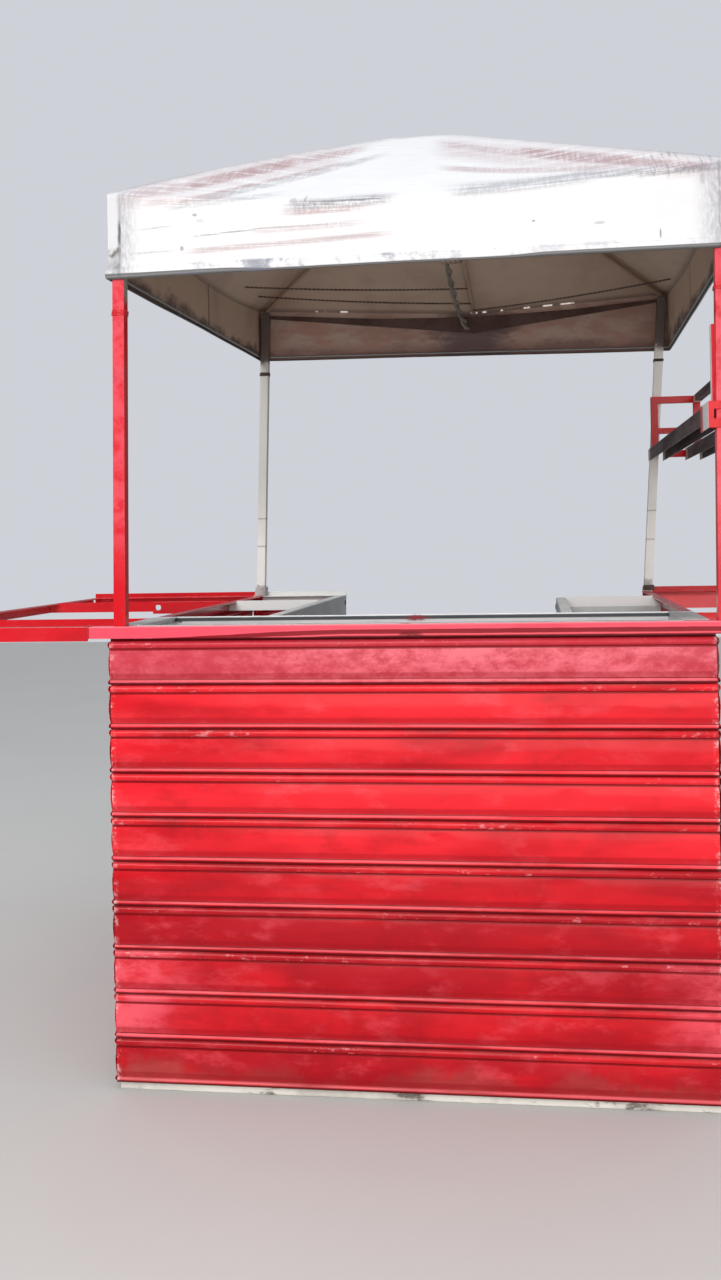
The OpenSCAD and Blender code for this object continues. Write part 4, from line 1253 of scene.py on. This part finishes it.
# %% Tan lining with seams, mould, painted shade and painted daylight at the slits
def vinyl_inside():
    material, shader, place = new_material("tan vinyl inside")
    run = stored(material.node_tree, "run")
    spot = split(place)
    cloud = noise(place, 5.0, detail=6.0, roughness=0.65)
    patch = noise(stretched(place, (1.0, 1.0, 2.2)), 7.0, detail=6.0, roughness=0.7, seed=3.0)
    valance = ramp(run, -0.02, 0.02)
    rear = times(ramp(spot["Y"], 0.66, 0.68), valance)
    colour = blend(valance, (0.50, 0.385, 0.295), (0.52, 0.39, 0.295))
    colour = blend(rear, colour, (0.42, 0.255, 0.205))
    colour = blend(times(rear, ramp(patch, 0.42, 0.58, 0.0, 0.75)), colour, (0.50, 0.40, 0.34))
    colour = blend(ramp(cloud, 0.45, 0.72, 0.0, 0.45), colour, (0.27, 0.18, 0.135))
    low_edge = plus(run, times(minus(patch, 0.5), 1.1))
    mould = times(ramp(low_edge, 0.74, 1.02), valance)
    rear_mould = blend(rear, (0.055, 0.030, 0.030), (0.20, 0.105, 0.090))
    colour = blend(times(mould, 0.85), colour, rear_mould)
    # Darker in the middle of the rear valance: painted shade of the fold there, and a stain.
    middle = vector_calc("DISTANCE", place, (0.085, 0.69, 1.745))
    dark = plus(middle, times(minus(patch, 0.5), 0.34))
    colour = blend(times(ramp(dark, 0.15, 0.06, 0.0, 0.85), rear), colour, (0.115, 0.075, 0.080))
    seam = calc("ABSOLUTE", minus(spot["Y"], 0.075))
    side = times(ramp(calc("ABSOLUTE", spot["X"]), 0.50, 0.54), valance)
    colour = blend(times(ramp(seam, 0.010, 0.003), side, 0.7), colour, (0.07, 0.045, 0.04))
    # Painted shade along the eave, where the roof meets the valance.
    eave = calc("ABSOLUTE", run)
    colour = blend(ramp(eave, 0.035, 0.0, 0.0, 0.55), colour, (0.08, 0.055, 0.045))
    # Painted daylight: the slits along the rear eave glow, standing in for light coming through them.
    glowing_slits = calc("MAXIMUM", band(spot["X"], -0.395, -0.285, 0.02),
        calc("MAXIMUM", band(spot["X"], -0.181, -0.144, 0.01), band(spot["X"], 0.087, 0.470, 0.02)))
    often = noise(stretched(place, (30.0, 0.1, 0.1)), 1.0, detail=2.0, seed=6.0)
    glowing_slits = times(glowing_slits, times(ramp(often, 0.50, 0.56), ramp(eave, 0.014, 0.006)))
    glowing_slits = times(glowing_slits, ramp(spot["Y"], 0.67, 0.68))
    fill(shader, Base_Color=colour, Roughness=0.75, Normal=bump(cloud, 0.25, 0.006),
        Emission_Color=blend(glowing_slits, (0.0, 0.0, 0.0), (0.60, 0.55, 0.50)), Emission_Strength=1.0)
    return material


VINYL_IN = vinyl_inside()

CANOPY_THICKNESS = 0.0014
canopy = new_object("canopy_cloth", canopy_mesh)
canopy.data.materials.append(VINYL_OUT)
canopy.data.materials.append(VINYL_IN)
thick = canopy.modifiers.new("sheet thickness", "SOLIDIFY")
thick.thickness = CANOPY_THICKNESS
thick.offset = -1.0
thick.material_offset = 1
thick.material_offset_rim = 0
smooth(canopy, 60.0)
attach(canopy, "root")
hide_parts("canopy_cover")

# %% [markdown]
# ## Wires, ties, welds and bolts
#
# Small things repeat, so each kind is one tree. Tie wire is two strands wound round each other, and the
# same tree with short, tight turns gives the ripple of a weld bead. The ties round the posts are rings
# on a line. The bolts are instances on points. Each tree takes its sizes as inputs, in metres.

# %% Two strands wound round each other
def strand(tree, given, phase):
    line = made(tree, "GeometryNodeCurvePrimitiveLine", {"Start": given["Start"], "End": given["End"]})
    fine = made(tree, "GeometryNodeResampleCurve", {"Curve": line, "Count": given["Points"]})
    at = add(tree, "GeometryNodeSplineParameter").outputs["Factor"]
    angle = plus(times(at, given["Turns"], 2 * math.pi), phase)
    across = made(tree, "ShaderNodeVectorMath", {0: given["Across"],
        "Scale": times(calc("COSINE", angle), given["Twist"])}, operation="SCALE")
    rise = point(0.0, 0.0, times(calc("SINE", angle), given["Twist"]))
    arch = times(at, minus(1.0, at), 4.0)
    bent = made(tree, "ShaderNodeVectorMath", {0: given["Bend"], "Scale": arch}, operation="SCALE")
    offset = vector_calc("ADD", vector_calc("ADD", across, rise), bent)
    moved = made(tree, "GeometryNodeSetPosition", {"Geometry": fine, "Offset": offset})
    ring = made(tree, "GeometryNodeCurvePrimitiveCircle", {"Resolution": 7, "Radius": given["Strand"]},
        mode="RADIUS")
    return made(tree, "GeometryNodeCurveToMesh", {"Curve": moved, "Profile Curve": ring, "Fill Caps": True})


def join_and_paint(tree, parts, material, out):
    real = made(tree, "GeometryNodeRealizeInstances", {0: gather(tree, parts)})
    painted = made(tree, "GeometryNodeSetMaterial", {"Geometry": real, "Material": material})
    tree.links.new(painted, out)
    return tree


def twisted_tree():
    tree, given, out = new_geometry_tree("twisted wire",
        [("Start", VECTOR, None), ("End", VECTOR, None), ("Bend", VECTOR, None),
        ("Across", VECTOR, (0.0, 1.0, 0.0)), ("Strand", FLOAT, 0.0015), ("Twist", FLOAT, 0.0015),
        ("Turns", FLOAT, 20.0), ("Points", INT, 200), ("Paint", MATERIAL, None)])
    strands = [strand(tree, given, phase) for phase in (0.0, math.pi)]
    return join_and_paint(tree, strands, given["Paint"], out)


# %% Rings round a post, and bolt heads on points
def tie_tree():
    tree, given, out = new_geometry_tree("wire tie", [
        ("Width", FLOAT, 0.027), ("Depth", FLOAT, 0.027), ("Centre", VECTOR, None), ("Step", FLOAT, 0.0028),
        ("Turns", INT, 3), ("Wire", FLOAT, 0.0014), ("Paint", MATERIAL, None)])
    frame_line = made(tree, "GeometryNodeCurvePrimitiveQuadrilateral", {"Width": given["Width"],
        "Height": given["Depth"]})
    round_line = made(tree, "GeometryNodeFilletCurve", {"Curve": frame_line, "Radius": 0.003},
        mode="BEZIER")
    ring = made(tree, "GeometryNodeCurvePrimitiveCircle", {"Resolution": 8, "Radius": given["Wire"]},
        mode="RADIUS")
    loop = made(tree, "GeometryNodeCurveToMesh", {"Curve": round_line, "Profile Curve": ring})
    step = point(0.0004, 0.0, given["Step"])
    column = made(tree, "GeometryNodeMeshLine", {"Count": given["Turns"], "Start Location": given["Centre"],
        "Offset": step})
    rings = made(tree, "GeometryNodeInstanceOnPoints", {"Points": column, "Instance": loop})
    return join_and_paint(tree, [rings], given["Paint"], out)


def bolt_tree():
    tree, given, out = new_geometry_tree("bolt heads", [
        ("Places", OBJECT, None), ("Radius", FLOAT, 0.006), ("Height", FLOAT, 0.004),
        ("Turn", VECTOR, None), ("Paint", MATERIAL, None)])
    places = add(tree, "GeometryNodeObjectInfo", {"Object": given["Places"]}).outputs["Geometry"]
    head = made(tree, "GeometryNodeMeshCylinder", {"Vertices": 6, "Radius": given["Radius"],
        "Depth": given["Height"]})
    washer = made(tree, "GeometryNodeMeshCylinder",
        {"Vertices": 20, "Radius": times(given["Radius"], 1.5), "Depth": times(given["Height"], 0.35)})
    both = gather(tree, [head, washer])
    heads = made(tree, "GeometryNodeInstanceOnPoints", {"Points": places, "Instance": both,
        "Rotation": given["Turn"]})
    return join_and_paint(tree, [heads], given["Paint"], out)


TWISTED, TIE, BOLTS = twisted_tree(), tie_tree(), bolt_tree()


# %% One object from several
def joined(name, paint, parts):
    """Puts several grown objects into one piece with one finish."""
    together = bmesh.new()
    for part in parts:
        together.from_mesh(part.data)
    mesh = bpy.data.meshes.new(name)
    for face in together.faces:
        face.material_index = 0
    together.to_mesh(mesh)
    together.free()
    mesh.materials.append(paint)
    for part in parts:
        bpy.data.objects.remove(part)
    piece = new_object(name, mesh)
    smooth(piece, 50.0)
    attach(piece, "root")
    print(name, "triangles:", sum(len(face.vertices) - 2 for face in mesh.polygons))
    return piece


def twisted(start, end, paint, bend=(0, 0, 0), **sizes):
    values = {"Start": start, "End": end, "Bend": bend, "Paint": paint, **sizes}
    return grow("wire", TWISTED, values)


# %% Wires and the rope under the canopy
ACROSS_X = (1.0, 0.0, 0.0)
WIRE_ENDS = [((-0.525, 0.258, 1.839), (0.082, 0.542, 1.862)),
    ((-0.528, 0.445, 1.848), (0.088, 0.610, 1.830)),
    ((0.090, 0.644, 1.815), (0.645, 0.338, 1.823))]
ROPE_ENDS = ((0.060, 0.020, 2.105), (0.071, 0.680, 1.766))
HEM_TIE_ENDS = ((0.094, -0.688, 1.679), (0.132, -0.688, 1.680))
CORNER_TIE_ENDS = ((-0.572, -0.6975, 1.738), (-0.590, -0.6975, 1.722))
WIRE_BROWN = dull_paint("brown tie wire", (0.13, 0.090, 0.070, 1.0), (0.075, 0.045, 0.035, 1.0), seed=7.0,
    amount=0.1)
ROPE_GREY = dull_paint("grey rope", (0.20, 0.18, 0.15, 1.0), (0.11, 0.09, 0.075, 1.0), seed=8.0, amount=0.1)
CLOTH_TIE = dull_paint("pale cloth tie", (0.62, 0.61, 0.60, 1.0), (0.40, 0.39, 0.38, 1.0), seed=9.0,
    amount=0.1)
WELD_PAINT = red_paint("red paint on welds", (20.0, 20.0, 20.0), chips=0.3, wear=0.0, fading=0.3,
    seed=12.0)[0]

wires = [twisted(*ends, WIRE_BROWN, bend=(0, 0, -0.006), Strand=0.0016, Twist=0.0014, Turns=26.0,
    Points=160) for ends in WIRE_ENDS]
roof_wires = joined("roof_wires", WIRE_BROWN, wires)
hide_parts("purlins")
rope = twisted(*ROPE_ENDS, ROPE_GREY, bend=(-0.030, 0, -0.028), Across=ACROSS_X, Strand=0.0045,
    Twist=0.0055, Turns=7.0, Points=150)
joined("roof_rope", ROPE_GREY, [rope])
hem_tie = twisted(*HEM_TIE_ENDS, WIRE_BROWN, Strand=0.0045, Twist=0.004, Turns=2.0, Points=40)
joined("hem_tie", WIRE_BROWN, [hem_tie])
corner_tie = twisted(*CORNER_TIE_ENDS, CLOTH_TIE, Strand=0.0022, Twist=0.0022, Turns=1.0, Points=24)
joined("corner_tie", CLOTH_TIE, [corner_tie])


# %% Ties round the posts
def tie(centre, paint, **sizes):
    return grow("tie", TIE, {"Centre": centre, "Paint": paint, **sizes})


front_ties = [tie((-0.5770, -POST_Y, 1.600), WELD_PAINT, Turns=4, Wire=0.0015),
    tie((0.6320, -POST_Y, 1.600), WELD_PAINT, Turns=3, Wire=0.0015)]
joined("post_ties", WELD_PAINT, front_ties)
rear_ties = [tie((-0.5622, POST_Y, 1.644), WIRE_BROWN, Turns=4),
    tie((0.6405, POST_Y, 1.644), WIRE_BROWN, Turns=3),
    tie((0.5980, POST_Y, 0.962), WIRE_BROWN, Turns=5, Wire=0.0022)]
joined("rear_post_ties", WIRE_BROWN, rear_ties)
foot_wrap = tie((-0.5862, POST_Y, 0.960), CLOTH_TIE, Turns=6, Wire=0.0032, Step=0.0046, Width=0.030,
    Depth=0.028)
joined("post_foot_wrap", CLOTH_TIE, [foot_wrap])

# %% Weld beads and bolts
BEADS = []
for x in (-0.654, 0.654):
    BEADS.append(((x, -0.6905, 0.9335), (x, -0.6905, 0.956)))
    BEADS.append(((x, -0.6890, 0.9572), (x, -0.6665, 0.9572)))
beads = [twisted(*ends, WELD_PAINT, Across=ACROSS_X, Strand=0.0019, Twist=0.0009, Turns=6.0, Points=60)
    for ends in BEADS]
joined("weld_beads", WELD_PAINT, beads)


def bolts(name, places, turn, paint):
    holder = points_object("places", places)
    heads = grow(name, BOLTS, {"Places": holder, "Turn": turn, "Paint": paint})
    bpy.data.objects.remove(holder)
    return heads


SIDEWAYS = (0.0, math.pi / 2, 0.0)
BOLT_PLACES = [(-0.3182, 0.655, 0.934), (-0.3182, 0.655, 0.50), (0.3182, 0.290, 0.934),
    (0.3182, 0.290, 0.50)]
joined("panel_bolts", WIRE_BROWN, [bolts("bolts", BOLT_PLACES, SIDEWAYS, WIRE_BROWN)])

# %% [markdown]
# ## Floor, light and the last lines
#
# The floor and the light are plain: a pale floor, a bright even sky from everywhere, and one large
# soft light in front and above, which gives the bowed laths their long faint highlights.

# %% Floor
floor_mesh = bpy.data.meshes.new("floor")
floor_mesh.from_pydata([(-9, -7, 0), (9, -7, 0), (9, 11, 0), (-9, 11, 0)], [], [(0, 1, 2, 3)])
floor = new_object("floor", floor_mesh)
floor_material, floor_shader, floor_place = new_material("pale floor", Roughness=0.85)
floor_tone = blend(noise(floor_place, 1.2, detail=4.0), (0.50, 0.49, 0.47), (0.56, 0.55, 0.53))
fill(floor_shader, Base_Color=floor_tone)
floor.data.materials.append(floor_material)

# %% World and lights
def soft_sky():
    """Pale where the camera looks. For light it is dim at the horizon and bright overhead."""
    world = bpy.data.worlds.new("soft sky")
    scene.world = world
    world.use_nodes = True
    tree = world.node_tree
    back = tree.nodes["Background"]
    fill(back, Color=(0.86, 0.89, 0.95, 1.0), Strength=0.72)
    ray = add(tree, "ShaderNodeLightPath")
    height = split(add(tree, "ShaderNodeTexCoord").outputs["Generated"])
    glow = ramp(height["Z"], 0.0, 0.9, 0.14, 0.95)
    sky = made(tree, "ShaderNodeBackground", {"Color": (0.90, 0.94, 1.0, 1.0), "Strength": glow})
    choice = made(tree, "ShaderNodeMixShader", {0: ray.outputs["Is Camera Ray"], 1: sky,
        2: back.outputs[0]})
    tree.links.new(choice, tree.nodes["World Output"].inputs["Surface"])


soft_sky()


def area_light(name, place, target, size, power, colour):
    data = bpy.data.lights.new(name, "AREA")
    data.shape = "RECTANGLE"
    data.size = size[0]
    data.size_y = size[1]
    data.energy = power
    data.color = colour
    light = new_object(name, data)
    light.location = place
    light.rotation_euler = (Vector(target) - Vector(place)).to_track_quat("-Z", "Y").to_euler()
    return light


area_light("front soft light", (-1.5, -5.5, 4.2), (0, 0, 0.8), (3.4, 2.4), 200.0, (1.0, 0.98, 0.96))
area_light("low soft light", (0.8, -6.0, 1.5), (0, 0, 1.0), (5.0, 2.2), 110.0, (1.0, 0.97, 0.94))
area_light("top soft light", (0.5, -0.5, 5.5), (0, 0, 1.5), (5.0, 5.0), 45.0, (0.95, 0.98, 1.0))
scene.view_settings.view_transform = "Standard"
